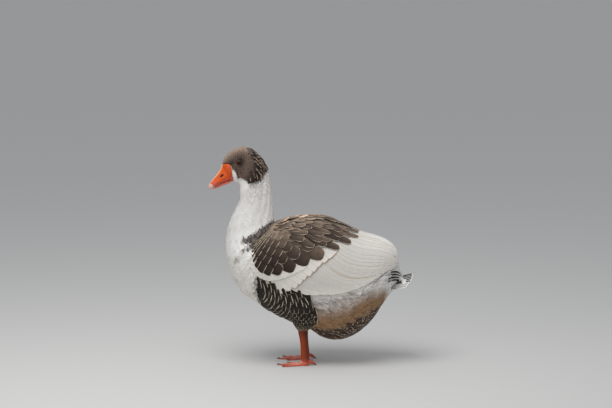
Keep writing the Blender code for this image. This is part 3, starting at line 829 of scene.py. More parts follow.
def nape_feathers():
    """Shaggy dark feathers with pale edges over the back of the head, standing off a little at their tips.
    The foremost are the crown's colour, the last end on the cap's rear edge, and every other line is mostly
    pale."""
    lines = 64
    places = rows_down(4.3, 8.3, lines, lambda rib: np.interp(rib, (4.5, 8.5), (4.6, 6.0)))
    count = len(places)
    change = headed(body, places[:, 0], places[:, 1], spaced(count, 0.3), draw.uniform(14, 19, count))
    t = np.degrees(np.abs(places[:, 1]))
    inside = places[:, 0] - edge(NAPE_FRONT, t)
    ends = places[:, 0] + change[:, 0] - edge(CAP_REAR, t) + spaced(count, 0.12)
    low = np.degrees(np.abs(places[:, 1] + change[:, 1])) - edge(CAP_EDGE, places[:, 0] + change[:, 0])
    keep = (inside > -0.2) & (t < edge(CAP_EDGE, places[:, 0]) - 1) & (ends < 0.12) & (low < 2)
    places, change, inside, t = places[keep], change[keep], inside[keep], t[keep]
    count = len(places)
    deep = smooth(inside, -0.1, 0.7)
    odd = np.round((places[:, 1] / (2 * np.pi) + 0.5) * lines - 0.5) % 2 == 1
    pale = draw.uniform(0, 1, count) < np.where(odd, 0.7, 0.04) * deep
    tint = varied(toward(head_colour(places[:, 0], t), NAPE, deep), 0.45, 1.0, count)
    tint = np.where(pale[:, None], varied(NAPE_EDGE, 0.4, 1.0, count), tint)
    lift = risen("plume", -3.2, 0.7, count) + (spaced(count, 0.3) + 0.5 * deep + 0.5 * pale)[:, None]
    width = np.where(pale, 2.8, 4.8)
    track = straight(places, change, "plume")
    return feathers(body, "plume", track, width, lift, tint, tint * 1.2, 0.9, 0.5, 0.6, spaced(count, 0.5))


def plain_coat(white, dark):
    """The small feathers of head and neck, and the larger ones of breast, belly and rump. They leave bare
    the bill, the eyes, the shaggy nape, the wing and the flank, and grow with the distance from the
    bill."""
    ribs = (0, 3, 7, 9.5, 12.6, 14.3)
    places = rows_down(0.02, 14.3, 88, lambda rib: np.interp(rib, ribs, (2.0, 2.6, 3.4, 5.0, 6.5, 7.5)))
    rib, t = places[:, 0], np.degrees(np.abs(places[:, 1]))
    on_nape = (rib > edge(NAPE_FRONT, t) + 0.3) & (rib < edge(CAP_REAR, t) - 0.4)
    on_nape &= t < edge(CAP_EDGE, rib) - 2
    bare = (eye_distance(rib + 0.1, places[:, 1]) < 8.0) | (rib < edge(BILL_REAR, t) - 0.05)
    places = places[~on_nape & ~bare]
    rib, t = places[:, 0], np.degrees(np.abs(places[:, 1]))
    on_cap = (rib < edge(CAP_REAR, t)) & (rib > edge(BLAZE_EDGE, t) - 0.3) & (t < edge(CAP_EDGE, rib) + 2)

    def small(chosen):
        """The tufts at the chosen places."""
        rib = places[chosen, 0]
        length = np.interp(rib, ribs, (5, 8, 13, 18, 24, 28))
        width = np.interp(rib, (0, 2, 7, 9.5, 12.6, 14.3), (3.2, 4.6, 5.4, 6.6, 8.0, 7.5))
        rise = np.interp(rib, (0, 7, 12.6), (0.8, 1.5, 1.2))
        return lay_tufts("tuft", places[chosen], length, width, rise, 0.15)

    coat("head_plumage", [small(on_cap), nape_feathers()], dark, "head_plumage")
    coat("neck_plumage", [small(~on_cap)], white, "white_plumage")
    trunk = rows_down(13.8, LAST_RIB - 0.4, 84, lambda rib: np.interp(rib, (13.8, 17), (8.0, 10.5)))
    count = len(trunk)
    over = trunk + headed(body, trunk[:, 0], trunk[:, 1], np.zeros(count), np.full(count, 28.0))
    trunk = trunk[(wing_over(trunk[:, 0], trunk[:, 1]) < 7) & (flank_at(*over.T) < 0.7)]
    rib = trunk[:, 0]
    length = np.interp(rib, (13.8, 17, 28, 31), (29, 36, 36, 30)) * draw.uniform(0.92, 1.08, len(rib))
    width = np.interp(rib, (13.8, 15.2, 17, 28, 31), (8, 9.5, 20, 18, 13))
    large = lay_tufts("contour", trunk, length, width, np.interp(rib, (13.8, 17), (1.6, 2.2)), 0.2)
    coat("breast_and_belly_plumage", [large], white, "white_plumage")


def paunch_fluff():
    """Soft plumes over the paunch and the dark band beneath it. They curl together in waves, with painted
    shade darkening the hollows between, and the dark band's have cream ends."""
    places = rows_down(21.5, 29.2, 88, lambda rib: np.full_like(rib, 8.5))
    t = np.degrees(np.abs(places[:, 1]))
    chosen = (paunch_at(places[:, 0], t) > 0.1) & (t < 176) & (wing_over(places[:, 0], places[:, 1]) < -2)
    places = places[chosen]
    rib, turn = places[:, 0], np.abs(places[:, 1])
    count = len(places)
    waves = 0.4 * np.sin(2.3 * rib + 6 * turn) + 0.2 * np.sin(5.1 * rib - 9 * turn)
    swirl = waves + spaced(count, 0.22) - 0.15
    tips = places + headed(body, rib, places[:, 1], swirl, draw.uniform(26, 38, count))
    tips[:, 0] = np.minimum(tips[:, 0], LAST_RIB - 0.6)
    tint, _ = markings(tips[:, 0], tips[:, 1])
    dim = smooth(tint.mean(-1), 0.22, 0.08)
    # painted light and shade: the tint rises and falls in waves, as curls lit and hollows shaded
    wave = 0.12 * np.sin(4.3 * rib + 11 * turn) * np.sin(2.9 * rib - 17 * turn)
    tint = tint * (1 + wave + spaced(count, 1.0) * (0.11 + 0.4 * dim))[:, None]
    rims = toward(tint * 1.15, CREAM, dim * draw.uniform(-0.7, 2.2, count).clip(0, 1))
    tuck = 6.0 * smooth(wing_over(tips[:, 0], tips[:, 1]), -20, -3)
    lift = risen("plume", -3.0, 0.6, count) + (spaced(count, 0.5) - tuck)[:, None]
    track = straight(places, tips - places, "plume")
    width = draw.uniform(9, 13, count)
    return feathers(body, "plume", track, width, lift, tint, rims, 3.4, 1.2, 0.7, spaced(count, 0.4))


FLOOR_HALF = 60.0  # metres
FLOOR_GREY = (0.62, 0.61, 0.59, 1)
SKY, SKY_STRENGTH = (0.92, 0.95, 1.0, 1), 0.52
# Each lamp's name, place in metres, width and power.
LAMPS = (
    ("overhead", (-0.5, -1.0, 2.5), 1.8, 40),
    ("front_fill", (-1.8, -2.4, 1.1), 2.0, 9),
)
LIT_HEIGHT = 0.33  # the lamps point at the bird's middle, this far up
BIRD_MIDDLE = (-0.014, 0.0, 0.466)  # what the camera looks at
CAMERA_AWAY, CAMERA_UP = 7.0, math.radians(7.5)
CAMERA_LENS = 142.0


def floor_and_light():
    """A pale floor and soft lamps over it, each turned so that it looks along the line to the bird."""
    mesh = bpy.data.meshes.new("floor")
    corners = [(FLOOR_HALF * x, FLOOR_HALF * y, 0) for x, y in ((-1, -1), (1, -1), (1, 1), (-1, 1))]
    mesh.from_pydata(corners, [], [(0, 1, 2, 3)])
    material, _, _ = shader("studio_floor", 0.9, Specular_IOR_Level=0.1, Base_Color=FLOOR_GREY)
    mesh.materials.append(material)
    placed("floor", mesh)
    world = bpy.data.worlds.new("studio")
    world.use_nodes = True
    background = world.node_tree.nodes["Background"]
    background.inputs["Color"].default_value = SKY
    background.inputs["Strength"].default_value = SKY_STRENGTH
    bpy.context.scene.world = world
    for name, place, size, power in LAMPS:
        lamp = bpy.data.lights.new(name, "AREA")
        lamp.shape, lamp.size, lamp.energy = "DISK", size, power
        holder = placed(name, lamp)
        holder.location = place
        x, y, z = np.array((0.0, 0.0, LIT_HEIGHT)) - np.array(place)
        holder.rotation_euler = (math.atan2(math.hypot(x, y), -z), 0, math.atan2(-x, y))


def camera():
    """A long lens a little above the bird, looking at its right side."""
    eye = bpy.data.cameras.new("camera")
    eye.sensor_width, eye.lens = 36.0, CAMERA_LENS
    eye.clip_end = 200.0
    holder = placed("camera", eye)
    x, y, z = BIRD_MIDDLE
    holder.location = (x, y - CAMERA_AWAY * math.cos(CAMERA_UP), z + CAMERA_AWAY * math.sin(CAMERA_UP))
    holder.rotation_euler = (math.pi / 2 - CAMERA_UP, 0, 0)
    bpy.context.scene.camera = holder


# Rows of the saddle's coverts from the front: the rib of the tips near the back (turn 25) and low on the
# side (turn 95), the turns that the row spans, and each feather's width, length and rim.
SADDLE_ROWS = (
    (14.86, 15.72, 1, 83, 15, 24, 1.3),
    (14.98, 15.92, 1, 88, 17, 27, 1.4),
    (15.10, 16.12, 1, 91, 19, 30, 1.4),
    (15.22, 16.36, 1, 93, 22, 34, 1.5),
    (15.40, 16.66, 1, 96, 25, 38, 1.6),
    (15.75, 17.08, 6, 99, 28, 43, 1.7),
    (16.40, 17.60, 20, 101, 31, 48, 1.8),
    (17.15, 18.12, 20, 102, 33, 52, 1.9),
    (17.85, 18.62, 24, 101, 35, 56, 1.9),
    (18.50, 19.14, 34, 97, 37, 60, 1.9),
    (19.25, 19.88, 44, 88, 40, 66, 1.9),
    (20.15, 20.66, 50, 76, 42, 74, 1.9),
    (21.10, 21.62, 54, 65, 42, 80, 1.9),
)
SADDLE_TOP, SADDLE_LOW = 25, 95  # the turns of those two measures
FRONT_ROWS, FLAT_ROWS = 9, 6  # how many rows are blunt, and how many of those lie flat
SADDLE_FRONT = ((12, 14.2), (58, 15.0), (84, 15.6), (92, 16.0), (99, 16.9), (105, 17.6))  # as turn and rib
RIB_APART = 30.0  # millimetres, near the wing's front
MM_PER_DEGREE = 2.05  # of turn, round the body there
# How far down the side the long shoulder feathers' tips come, by rib.
SCAPULAR_LOW = ((16.5, 40), (18.5, 46), (20.4, 60), (21.6, 57), (22.7, 49), (23.7, 40), (24.3, 28))
# The white wing: rows of roots and tips, as (rib, turn) from the lowest feather up.
LESSER = (
    ((16.0, 99), (16.9, 104), (17.7, 104), (18.3, 98), (18.9, 89), (19.5, 78)),
    ((17.2, 109), (18.1, 113.5), (18.8, 111.5), (19.3, 104.5), (19.8, 95), (20.4, 84)),
)
GREATER = (
    ((17.8, 108), (18.2, 97), (18.7, 86), (19.4, 75), (20.1, 63), (20.8, 50)),
    ((20.0, 114), (20.4, 103), (20.7, 92), (21.1, 82), (21.5, 71), (22.2, 60)),
)
SECONDARY = (
    ((19.0, 103), (19.4, 94), (19.9, 83), (20.4, 74), (20.9, 64), (21.2, 52), (21.4, 38)),
    ((21.9, 97), (24.0, 83), (26.0, 73), (27.8, 66), (29.2, 60), (30.0, 48), (30.2, 32)),
)
TERTIAL = (
    ((21.6, 31), (21.7, 23), (21.8, 15), (21.9, 8), (21.9, 2)),
    ((29.7, 20), (29.9, 15), (29.8, 10), (29.4, 5), (28.8, 1)),
)
# The rows, hindmost first: kind, line, count, width, lift at the root and at the tip and its climb from the
# lowest feather to the highest, the rims' shares of tan in turn, widths of the tip rim and the side rim,
# bow, camber and tilt, and brightness, which is painted light and shade: brighter on the tertials on top,
# dimmer on the lower rows.
WHITE_ROWS = (
    ("quill", SECONDARY, 19, 52, (-5.6, -2.2, 4.0), (0.1, 0.6, 0.1, 0.2, 0.9, 0.1, 0.3), (1.4, 2.0), 2.5,
     (0.2, 0.8), 0.96),
    ("quill", TERTIAL, 5, 50, (-1.5, 2.2, 1.2), (1.0, 0.05, 0.2, 0.05, 0.1), (1.5, 3.0), 3.0,
     (0.1, 0.3), 1.06),
    ("blunt", GREATER, 10, 38, (-4.0, -0.4, 1.6), (1.0, 0.9), (3.6, 0.9), 1.0, (0.15, 0.2), 0.96),
    ("broad", LESSER, 15, 26, (-4.0, -0.4, 1.4), (0.25, 0.1), (0.35, 0.7), 0.5, (0.15, 0.15), 0.9),
)
# The flank's rims lean back from the wing and bow round to the belly: how far behind a row's top each turn
# is.
FLANK_BOW = ((104, -0.2), (112, 0.0), (120, 0.45), (128, 0.75), (140, 0.9), (155, 0.85), (172, 0.6))
FLANK_STEP = 12.5  # degrees from one of a row's feathers to the next


def curve_at(points, share):
    """Places along a line of (rib, turn in degrees) points, by the share of its points passed; radians
    out."""
    points = np.array(points, float) * (1, np.pi / 180)
    at = share * (len(points) - 1)
    i = np.minimum(at.astype(int), len(points) - 2)
    return points[i] + (points[i + 1] - points[i]) * (at - i)[:, None]


def fanned(kind, roots, tips, bow=0.0):
    """Tracks from roots to tips, bowed sideways in the middle by that many degrees."""
    along = np.array(KINDS[kind][0])[:, None]
    track = roots[:, None] + (tips - roots)[:, None] * along
    track[..., 1] += np.radians(bow) * np.sin(np.pi * along[:, 0])
    return track


def risen(kind, low, high, count, power=0.55):
    """Lifts for a row of feathers: low at the root, soon up to the coat's face and then level to the
    tip."""
    along = np.array(KINDS[kind][0])
    return np.broadcast_to(low + (high - low) * along**power, (count, len(along)))


def saddle_coverts():
    """Rows of dark coverts with pale rims. A row's tips lie side by side on one line round the wing, over
    the next row's roots. The front rows are blunt with no side rims, so that their tips read as one long
    line."""
    batches = []
    for k, (top, low, start, end, width, length, rim) in enumerate(SADDLE_ROWS):
        front = k < FRONT_ROWS
        turns = np.arange(end, start, -width * (0.7 if front else 0.8) / MM_PER_DEGREE)[::-1]
        count = len(turns)
        rib = np.interp(turns, (SADDLE_TOP, SADDLE_LOW), (top, low)) + spaced(count, 0.02)
        tip = np.stack([rib, np.radians(turns)], 1)
        slope = np.full(count, (low - top) / math.radians(SADDLE_LOW - SADDLE_TOP))
        room = RIB_APART * (rib - edge(SADDLE_FRONT, turns)) + 7.0
        back = -square_to_row(body, tip, slope, spaced(count, 0.05) + 0.08, np.clip(room, 12.0, length))
        kind = "blunt" if front else "broad"
        # painted light: towards the back's top the coverts turn paler and are brightened, partly their own
        # colour
        warm = toward(SADDLE, MANTLE_AND_TOP_LIGHT, 0.85 * smooth(turns, 84, 30))
        tint = varied(warm * (1 + 0.4 * smooth(turns, 50, 15))[:, None], 0.72, 1.25, count)
        rims = varied(SADDLE_RIM, 0.6, 1.0, count) * (0.6 + 0.4 * smooth(turns, 45, 80))[:, None]
        depth, power = ((-8.0, 1.0), (-6.0, 0.8))[k] if k < 2 else (-4.6, 0.55)
        lift = risen(kind, depth, 0.7, count, power) + spaced(count, 0.12)[:, None]
        # shade here is painted shade on each feather's lower side and painted light on its upper
        side_rim, shade = (0.0, 0.3) if front else (rim * 0.9, 0.5)
        camber, tilt = (0.5, 0.35) if k < FLAT_ROWS else (1.1, 0.9)
        patch = min(SMALL_PATCH + width * 0.0002, 0.009)
        track = straight(tip + back, -back, kind)
        finish = (rim * 1.1, side_rim, camber, tilt, patch, shade)
        batches.append(on_both_sides(body, kind, track, width, lift, tint, rims, *finish))
    return batches


def scapulars():
    """Long feathers over the shoulders and back, in loose rows. Each row's tips lie over the next row's
    roots, and every feather's lower edge stands clear of the one beside it. The uppermost are palest, as if
    sunlit."""
    places = []
    for k, rib in enumerate(np.arange(16.9, 24.3, 0.92)):
        turns = np.arange(4.0 - 4.5 * (k % 2), edge(SCAPULAR_LOW, rib), 9.0)
        ribs = rib + spaced(len(turns), 0.26)
        places.append(np.stack([ribs, np.radians(turns + spaced(len(turns), 1.6))], 1))
    tips = np.concatenate(places)
    rib, turn = tips.T
    count = len(tips)
    length = np.interp(rib, (16.5, 20, 24), (46, 66, 84)) * draw.uniform(0.9, 1.1, count)
    width = np.interp(rib, (16.5, 20, 24), (20, 25, 28)) * draw.uniform(0.85, 1.12, count)
    roots = tips - headed(body, rib, turn, 0.08 + spaced(count, 0.14), length)
    sun = (1 - smooth(turn, math.radians(8), math.radians(46))) * (1 - 0.6 * smooth(rib, 19.5, 22.0))
    tint = toward(MANTLE_AND_TOP_LIGHT, SADDLE, draw.uniform(0.45, 1.0, count) * (1 - 0.85 * sun))
    tint = varied(tint, 0.6, 1.15, count) * (1 + 1.1 * sun)[:, None]
    rims = toward(MANTLE_AND_TOP_LIGHT, SADDLE_RIM, draw.uniform(0.5, 1.0, count) * (0.5 + 0.5 * sun))
    rims = rims * (1 + 0.3 * sun)[:, None]
    lift = risen("lance", -3.0, 2.6, count) + spaced(count, 0.8)[:, None]
    track = fanned("lance", roots, tips, 1.0)
    # the last, 0.6, is painted shade on each feather's lower side and painted light on its upper
    finish = (2.4, 1.9, 1.3, 2.4, LONG_PATCH, 0.6)
    return [on_both_sides(body, "lance", track, width, lift, tint, rims, *finish)]


def white_wing():
    """Secondaries, tertials and the white coverts over them: rows of vanes from the lowest feather up, each
    lying over the one below it."""
    batches = []
    for kind, line, count, width, (low, high, climb), tans, rims, bow, swell, painted_brightness in WHITE_ROWS:
        share = np.linspace(0, 1, count)
        roots, tips = curve_at(line[0], share), curve_at(line[1], share)
        tips[:, 0] += spaced(count, 0.03)
        track = fanned(kind, roots, tips, bow)
        lift = risen(kind, low, high, count) + share[:, None] * climb
        # painted light and shade: each row's white is brightened or dimmed by its painted_brightness
        tint = varied(WING_WHITE * painted_brightness, 0.96, 1.02, count)
        tan = toward(WING_WHITE, TAN * 0.85, np.resize(tans, count))
        batches.append(on_both_sides(body, kind, track, width, lift, tint, tan, *rims, *swell, LONG_PATCH))
    return batches


def flank_feathers():
    """Broad dark feathers with cream rims, in close rows from the wing's lower edge round to the belly.
    Each row starts a little further round than the one before it."""
    batches = []
    for k, rib in enumerate(np.arange(17.95, 21.75, 0.225)):
        end = np.interp(rib, (18.0, 18.4, 19.0, 21.6), (132, 150, 168, 171))
        turns = np.arange(109 + (4.1 * k) % FLANK_STEP, end, FLANK_STEP)
        count = len(turns)
        tip = np.stack([rib + edge(FLANK_BOW, turns) + spaced(count, 0.035), np.radians(turns)], 1)
        tip[:, 0] = np.minimum(tip[:, 0], edge(FLANK_BACK, turns) + 0.12 + spaced(count, 0.08))
        slope = (edge(FLANK_BOW, turns + 3) - edge(FLANK_BOW, turns - 3)) / math.radians(6)
        back = -square_to_row(body, tip, slope, spaced(count, 0.08) + 0.05, min(22.0 + 7 * k, 46.0))
        tint = varied(FLANK, 0.7, 1.5, count)
        rims = varied(FLANK_RIM, 0.35, 1.0, count)
        under = 3.0 * smooth(turns, 120, 109)
        lift = risen("blunt", -5.0, 0.8, count) + (spaced(count, 0.2) - under)[:, None]
        track = straight(tip + back, -back, "blunt")
        finish = (2.9, 0.6, 0.4, 0.3, MIDDLE_PATCH)
        batches.append(on_both_sides(body, "blunt", track, 35.0, lift, tint, rims, *finish))
    return batches


# The tail fans from a point inside the rump: the first parameter is millimetres from it, the second the
# angle.
FAN_FROM, FAN_HALF, FAN_DROOP = 160.0, math.radians(23.5), 21.0
FAN_ROOTS, FAN_ENDS = 60.0, 140.0
TAIL_RISE = ((214, 246), (252, 252), (272, 255.5), (300, 262))


def tail_top(reach, turn):
    """The tail's upper face: a fan that rises a little to its end and droops at its sides, by the droop
    times (angle / half)^1.7."""
    x = FAN_FROM + reach * np.cos(turn)
    z = np.interp(x, *np.array(TAIL_RISE, float).T) + 1.5 - FAN_DROOP * np.abs(turn / FAN_HALF) ** 1.7
    return np.stack([x + SHIFT_X, reach * np.sin(turn), z], -1)


def tail_under(reach, turn):
    """The tail's lower face, which faces down and is thickest at the rump."""
    at = tail_top(reach, -turn)
    at[..., 2] -= 3.0 + 8.0 * smooth(reach, 132, 70)
    return at


def tail_base(along, turn):
    """The sheet that closes the rump round the tail. Up to 0 it is the body's last ribs, and from 0 to 1 a
    cubic curve from the body's end to the fan: the top half meets its upper face and the bottom half its
    lower."""
    down = (1 - np.cos(turn)) / 2
    rib = LAST_RIB - 0.1 + 3.0 * np.minimum(along, 0)
    angle = FAN_HALF * 0.93 * np.arcsin(np.sin(turn)) / (np.pi / 2)
    reach = 112 + 22 * down
    start, end, ahead = body(rib, turn), tail_top(reach, angle), tail_top(reach + 5, angle)
    end[..., 2] -= 5.0 * down
    ahead[..., 2] -= 5.0 * down
    span = np.linalg.norm(end - start, axis=-1, keepdims=True) * 0.8
    leave = unit(start - body(rib - 0.3, turn)) * span
    curve = cubic(start, end, leave, (ahead - end) / 5 * span, np.clip(along, 0, 1)[..., None])
    return np.where(along[..., None] > 0, curve, start)


def tail_feathers():
    """Dark tail feathers with white edges, the outer ones white. The middle ones are longest and lie on
    top."""
    count = 14
    share = np.linspace(-1, 1, count)
    turn = share * FAN_HALF
    ends = FAN_ENDS - 8 * share**4 + spaced(count, 1.0)
    roots = np.stack([np.full(count, FAN_ROOTS), turn * 0.9], 1)
    track = fanned("quill", roots, np.stack([ends, turn], 1))
    lift = risen("quill", -1.5, -1.0, count) - 2.6 * np.abs(share)[:, None]
    tint = varied(np.where(np.abs(share)[:, None] > 0.75, WHITE, SLATE), 0.7, 1.0, count)
    return [feathers(tail_top, "quill", track, 19.0, lift, tint, WHITE, 3.0, 2.6, 0.5, 0.0, LONG_PATCH)]


def tail_coverts():
    """White coverts in rings round the tail's base, the hindmost lowest, and the outer tail feathers' pale
    undersides."""
    turn = np.array((-0.95, -0.84, -0.73, 0.73, 0.84, 0.95)) * FAN_HALF
    roots = np.stack([np.full(6, FAN_ROOTS), turn * 0.9], 1)
    track = fanned("quill", roots, np.stack([np.full(6, FAN_ENDS - 11.0), turn], 1))
    lift = risen("quill", 0.5, 1.4, 6)
    batches = [feathers(tail_under, "quill", track, 13.0, lift, WHITE, CREAM, 1.2, 1.0, 0.5, 0.0, LONG_PATCH)]
    count = 30
    for k, end in enumerate(np.linspace(1.0, -0.25, 8)):
        turns = turns_round(count) + 0.1 * (k % 2) - np.pi
        roots = np.stack([np.full(count, end - 0.8), turns], 1)
        tips = np.stack([np.full(count, end) + spaced(count, 0.04), turns], 1)
        under = 5.5 * smooth(0.25 - end, 0, 0.4) * smooth(np.abs(turns), 1.6, 1.3)
        lift = risen("contour", -9.0, 0.8, count, 0.8) + 0.12 * k - under[:, None]
        tint = varied(WHITE, 0.88, 1.02, count)
        width = np.interp(np.abs(np.degrees(turns)), (0, 180), (15, 17))
        track = fanned("contour", roots, tips)
        batches.append(feathers(tail_base, "contour", track, width, lift, tint, tint * 0.8, 0.8, 0.5))
    return batches


def tail_sides():
    """The outermost tail feathers where they leave the rump's side: narrow, dark and white by turns, one
    above another, from the highest down."""
    count = 7
    share = np.linspace(0, 1, count)
    roots = curve_at(((-0.9, 85), (-1.1, 90), (-1.1, 97)), share)
    tips = curve_at(((0.3, 86), (0.35, 124)), share)
    dark = np.arange(count) % 2 == 0
    tint = np.where(dark[:, None], SLATE * 0.3, WHITE)
    lift = risen("lance", -2.0, 3.2, count) + np.where(dark, 0.0, 0.9)[:, None]
    width = np.where(dark, 7.0, 3.8)
    finish = (0.8, 0.5, 0.5, 0.4, MIDDLE_PATCH)
    return [on_both_sides(tail_base, "lance", fanned("lance", roots, tips), width, lift, tint, tint, *finish)]


# The thigh's rings from the flank down: height, middle (x, y) and half widths along x and y.
THIGH = ((205, -14, 74, 44, 30), (170, -13, 72, 45, 31), (145, -14, 67, 40, 28), (125, -16, 61, 30, 23),
         (112, -18, 55, 21, 17), (104, -19, 51, 15, 12))
THIGH_ROWS = np.array(THIGH, float)


def thigh_on(sign):
    """The form of one thigh: the first parameter runs down its rings and the second round them."""

    def thigh(down, turn):
        """The point at that place: an ellipse whose middle and half widths blend straight between rings."""
        place = np.clip(down, 0, len(THIGH) - 1)
        z, x, y, half_x, half_y = [np.interp(place, np.arange(len(THIGH)), column) for column in THIGH_ROWS.T]
        return np.stack([x + half_x * np.cos(turn) + SHIFT_X, sign * y + half_y * np.sin(turn), z], -1)

    return thigh


def thigh_feathers():
    """Feathers that point down the thigh and end above the bare leg: dark with cream rims, the lowest
    golden brown."""
    batches = []
    for sign in (1, -1):
        for k, down in enumerate(np.linspace(5.0, 1.4, 9)):
            turn = turns_round(17) + 0.19 * (k % 2)
            count = len(turn)
            tips = np.stack([down + spaced(count, 0.1), turn], 1)
            lift = risen("lance", -3.0, 0.5, count) + 0.16 * k
            brown = smooth(down, 3.7, 4.7) * draw.uniform(0.5, 1.0, count)
            tint = varied(toward(FLANK, THIGH_TINT, brown), 0.8, 1.2, count)
            rims = varied(FLANK_RIM, 0.3, 0.9, count)
            width = np.interp(down, (1.6, 3, 5), (20, 16, 9))
            track = fanned("lance", tips - (1.3, 0), tips)
            finish = (1.6, 1.3, 0.5, 0.9, 0.004)
            batches.append(feathers(thigh_on(sign), "lance", track, width, lift, tint, rims, *finish))
    return batches


# The bill's slices: ridge (x, z), cutting edge (x, z) and half width; the lower one's from its edge to its
# floor.
UPPER_BILL = (
    ((-253.1, 580.3), (-226.1, 537.2), 16.6),
    ((-259.5, 565.5), (-233.5, 534.5), 16.0),
    ((-267.5, 553.5), (-245.0, 531.0), 15.2),
    ((-276.5, 542.5), (-257.0, 526.0), 14.4),
    ((-284.5, 533.0), (-268.5, 520.0), 13.0),
    ((-290.0, 525.0), (-278.5, 515.0), 10.6),
    ((-292.5, 518.5), (-285.0, 511.5), 7.0),
    ((-291.8, 512.5), (-288.5, 509.3), 3.2),
)
LOWER_BILL = (
    ((-225.6, 536.4), (-223.2, 532.6), 14.8),
    ((-234.0, 533.5), (-231.0, 527.5), 14.2),
    ((-245.5, 530.0), (-242.5, 523.0), 13.2),
    ((-257.3, 525.0), (-254.5, 518.5), 11.8),
    ((-268.3, 519.0), (-266.0, 513.5), 9.6),
    ((-277.5, 514.2), (-276.5, 510.0), 6.5),
    ((-282.5, 511.3), (-282.3, 509.0), 3.0),
)
BILL_NARROWER = 0.28  # the upper bill is narrower at its ridge
NOSTRIL_AT, NOSTRIL_LONG, NOSTRIL_HIGH = (-254.0, 550.0), 6.6, 2.8
BILL_TIP, NAIL_LENGTH = (-291.8, 512.0), 15.0
TOOTH = 2.6  # from one tooth of the cutting edge to the next


def slices(table, egg):
    """Rows for a sliced form, from a table of slices."""
    return np.array([(*first, *second, half, egg) for first, second, half in table], float)


def outward(points):
    """The outward direction at each point of a grid of rings, from its neighbours along and round."""
    along = np.gradient(points, axis=0)
    around = np.roll(points, -1, axis=1) - np.roll(points, 1, axis=1)
    out = unit(np.cross(along, around))
    from_middle = points - points.mean(1, keepdims=True)
    return out * np.sign((out * from_middle).sum())


def upper_bill(material):
    """Its slices, carried back over the face: a ring further back lies on the head between the bill's base
    and the rear edge, which is furthest back on the sides. Nostrils are hollowed, the nail has a groove
    behind it, the cutting edge is toothed, and folds run from the nostril and the mouth's corner."""
    turn = turns_round(120)
    table = slices(UPPER_BILL, -BILL_NARROWER)
    place, around = grid(np.linspace(0, len(table) - 1, 100), turn)
    front = sliced(table, place, around)
    up = np.clip(0.07 + 0.93 * np.cos(turn), -1, 1)
    on_head = np.arccos(up) * np.where(turn > np.pi, -1, 1)
    back = np.linspace(1, 0, 22)[:-1, None]
    rib = back * edge(BILL_REAR, np.degrees(np.abs(on_head)))[None]
    lift = 1.0 - 2.4 * back**6
    behind = raised(body, rib, np.broadcast_to(on_head, rib.shape), np.broadcast_to(lift, rib.shape))
    behind = toward(front[:1], behind, smooth(back, 0, 0.35))
    points = np.concatenate([behind, front])
    x, y, z = np.moveaxis(points, -1, 0)
    x = x - SHIFT_X
    from_x, from_z = x - NOSTRIL_AT[0], z - NOSTRIL_AT[1]
    ahead = (-0.79 * from_x - 0.61 * from_z) / NOSTRIL_LONG
    aside = (0.61 * from_x - 0.79 * from_z) / NOSTRIL_HIGH
    near = np.where(np.abs(y) > 2, np.hypot(ahead, aside), 9)
    hole = np.exp(-(near**4))
    to_tip = np.hypot(x - BILL_TIP[0], z - BILL_TIP[1])
    nail = 1 - smooth(to_tip, NAIL_LENGTH - 1.5, NAIL_LENGTH + 1.5)
    groove = hump(to_tip, NAIL_LENGTH, 1.0)
    t = np.degrees(np.minimum(turn, 2 * np.pi - turn))[None] + 0 * x
    low = smooth(t, 118, 140)
    teeth = low * np.sin((x * 0.79 + z * 0.61) * 2 * np.pi / TOOTH) * (1 - nail) * smooth(-x, 226, 234)
    fold = hump(t, 112 + 0.35 * (x + 250), 5) * (1 - nail) * smooth(-x, 232, 240)
    side = hump(t, 62, 26) * smooth(-x, 226, 238)
    out = outward(points)
    wrinkle = np.sin(x * 1.15 + 0.5 * z) * smooth(x, -246, -232) * 0.12
    depth = -2.4 * hole + 0.45 * hump(near, 1.35, 0.25) - 0.35 * groove + 0.3 * nail + 0.13 * teeth
    depth = depth - 0.3 * fold + wrinkle - 0.5 * side * (1 - nail) * smooth(near, 1, 2.5)
    points = points + out * depth[..., None]
    tint = np.broadcast_to(ORANGE, x.shape + (3,))
    # painted shade: deeper orange in the folds' creases and at the rear where the bill meets the face
    tint = toward(tint, ORANGE_SHADE, np.clip(0.35 * fold + 0.6 * smooth(x, -236, -224), 0, 1))
    tint = toward(tint, ROSE, np.clip(0.9 * low + 0.75 * smooth(to_tip, 40, 16), 0, 1))
    # painted highlight: the ridge along the top of the bill is pale
    tint = toward(tint, ORANGE_HIGHLIGHT, 0.9 * (1 - smooth(t, 14, 46)) * (1 - nail))
    tint = toward(tint, NAIL, nail)
    # painted shade: the nostril's hollow is painted near black
    tint = toward(tint, NOSTRIL_SHADE, np.clip(1.6 * hole, 0, 1))
    belongs(closed("bill_upper_horn", points, tint, material), "bill_horn", "bill_upper")


def lower_bill(material):
    """The shallow lower mandible, toothed along its edge, with a small nail."""
    table = slices(LOWER_BILL, BILL_NARROWER)
    place, around = grid(np.linspace(0, len(table) - 1, 70), turns_round(80))
    points = sliced(table, place, around)
    x, _, z = np.moveaxis(points, -1, 0)
    top = np.maximum(np.cos(around), 0)
    teeth = top * np.sin((x * 0.85 + z * 0.5) * 2 * np.pi / TOOTH) * 0.12
    points = points + outward(points) * teeth[..., None]
    nail = smooth(-x, 277, 281)
    tint = toward(toward(np.broadcast_to(ORANGE, x.shape + (3,)), ROSE, 0.85), NAIL, nail)
    tint = toward(tint, FLESH, 0.75 * smooth(-np.cos(around), 0.1, 0.8) * (1 - nail))
    belongs(closed("bill_lower_horn", points, tint, material), "bill_horn", "bill_lower")


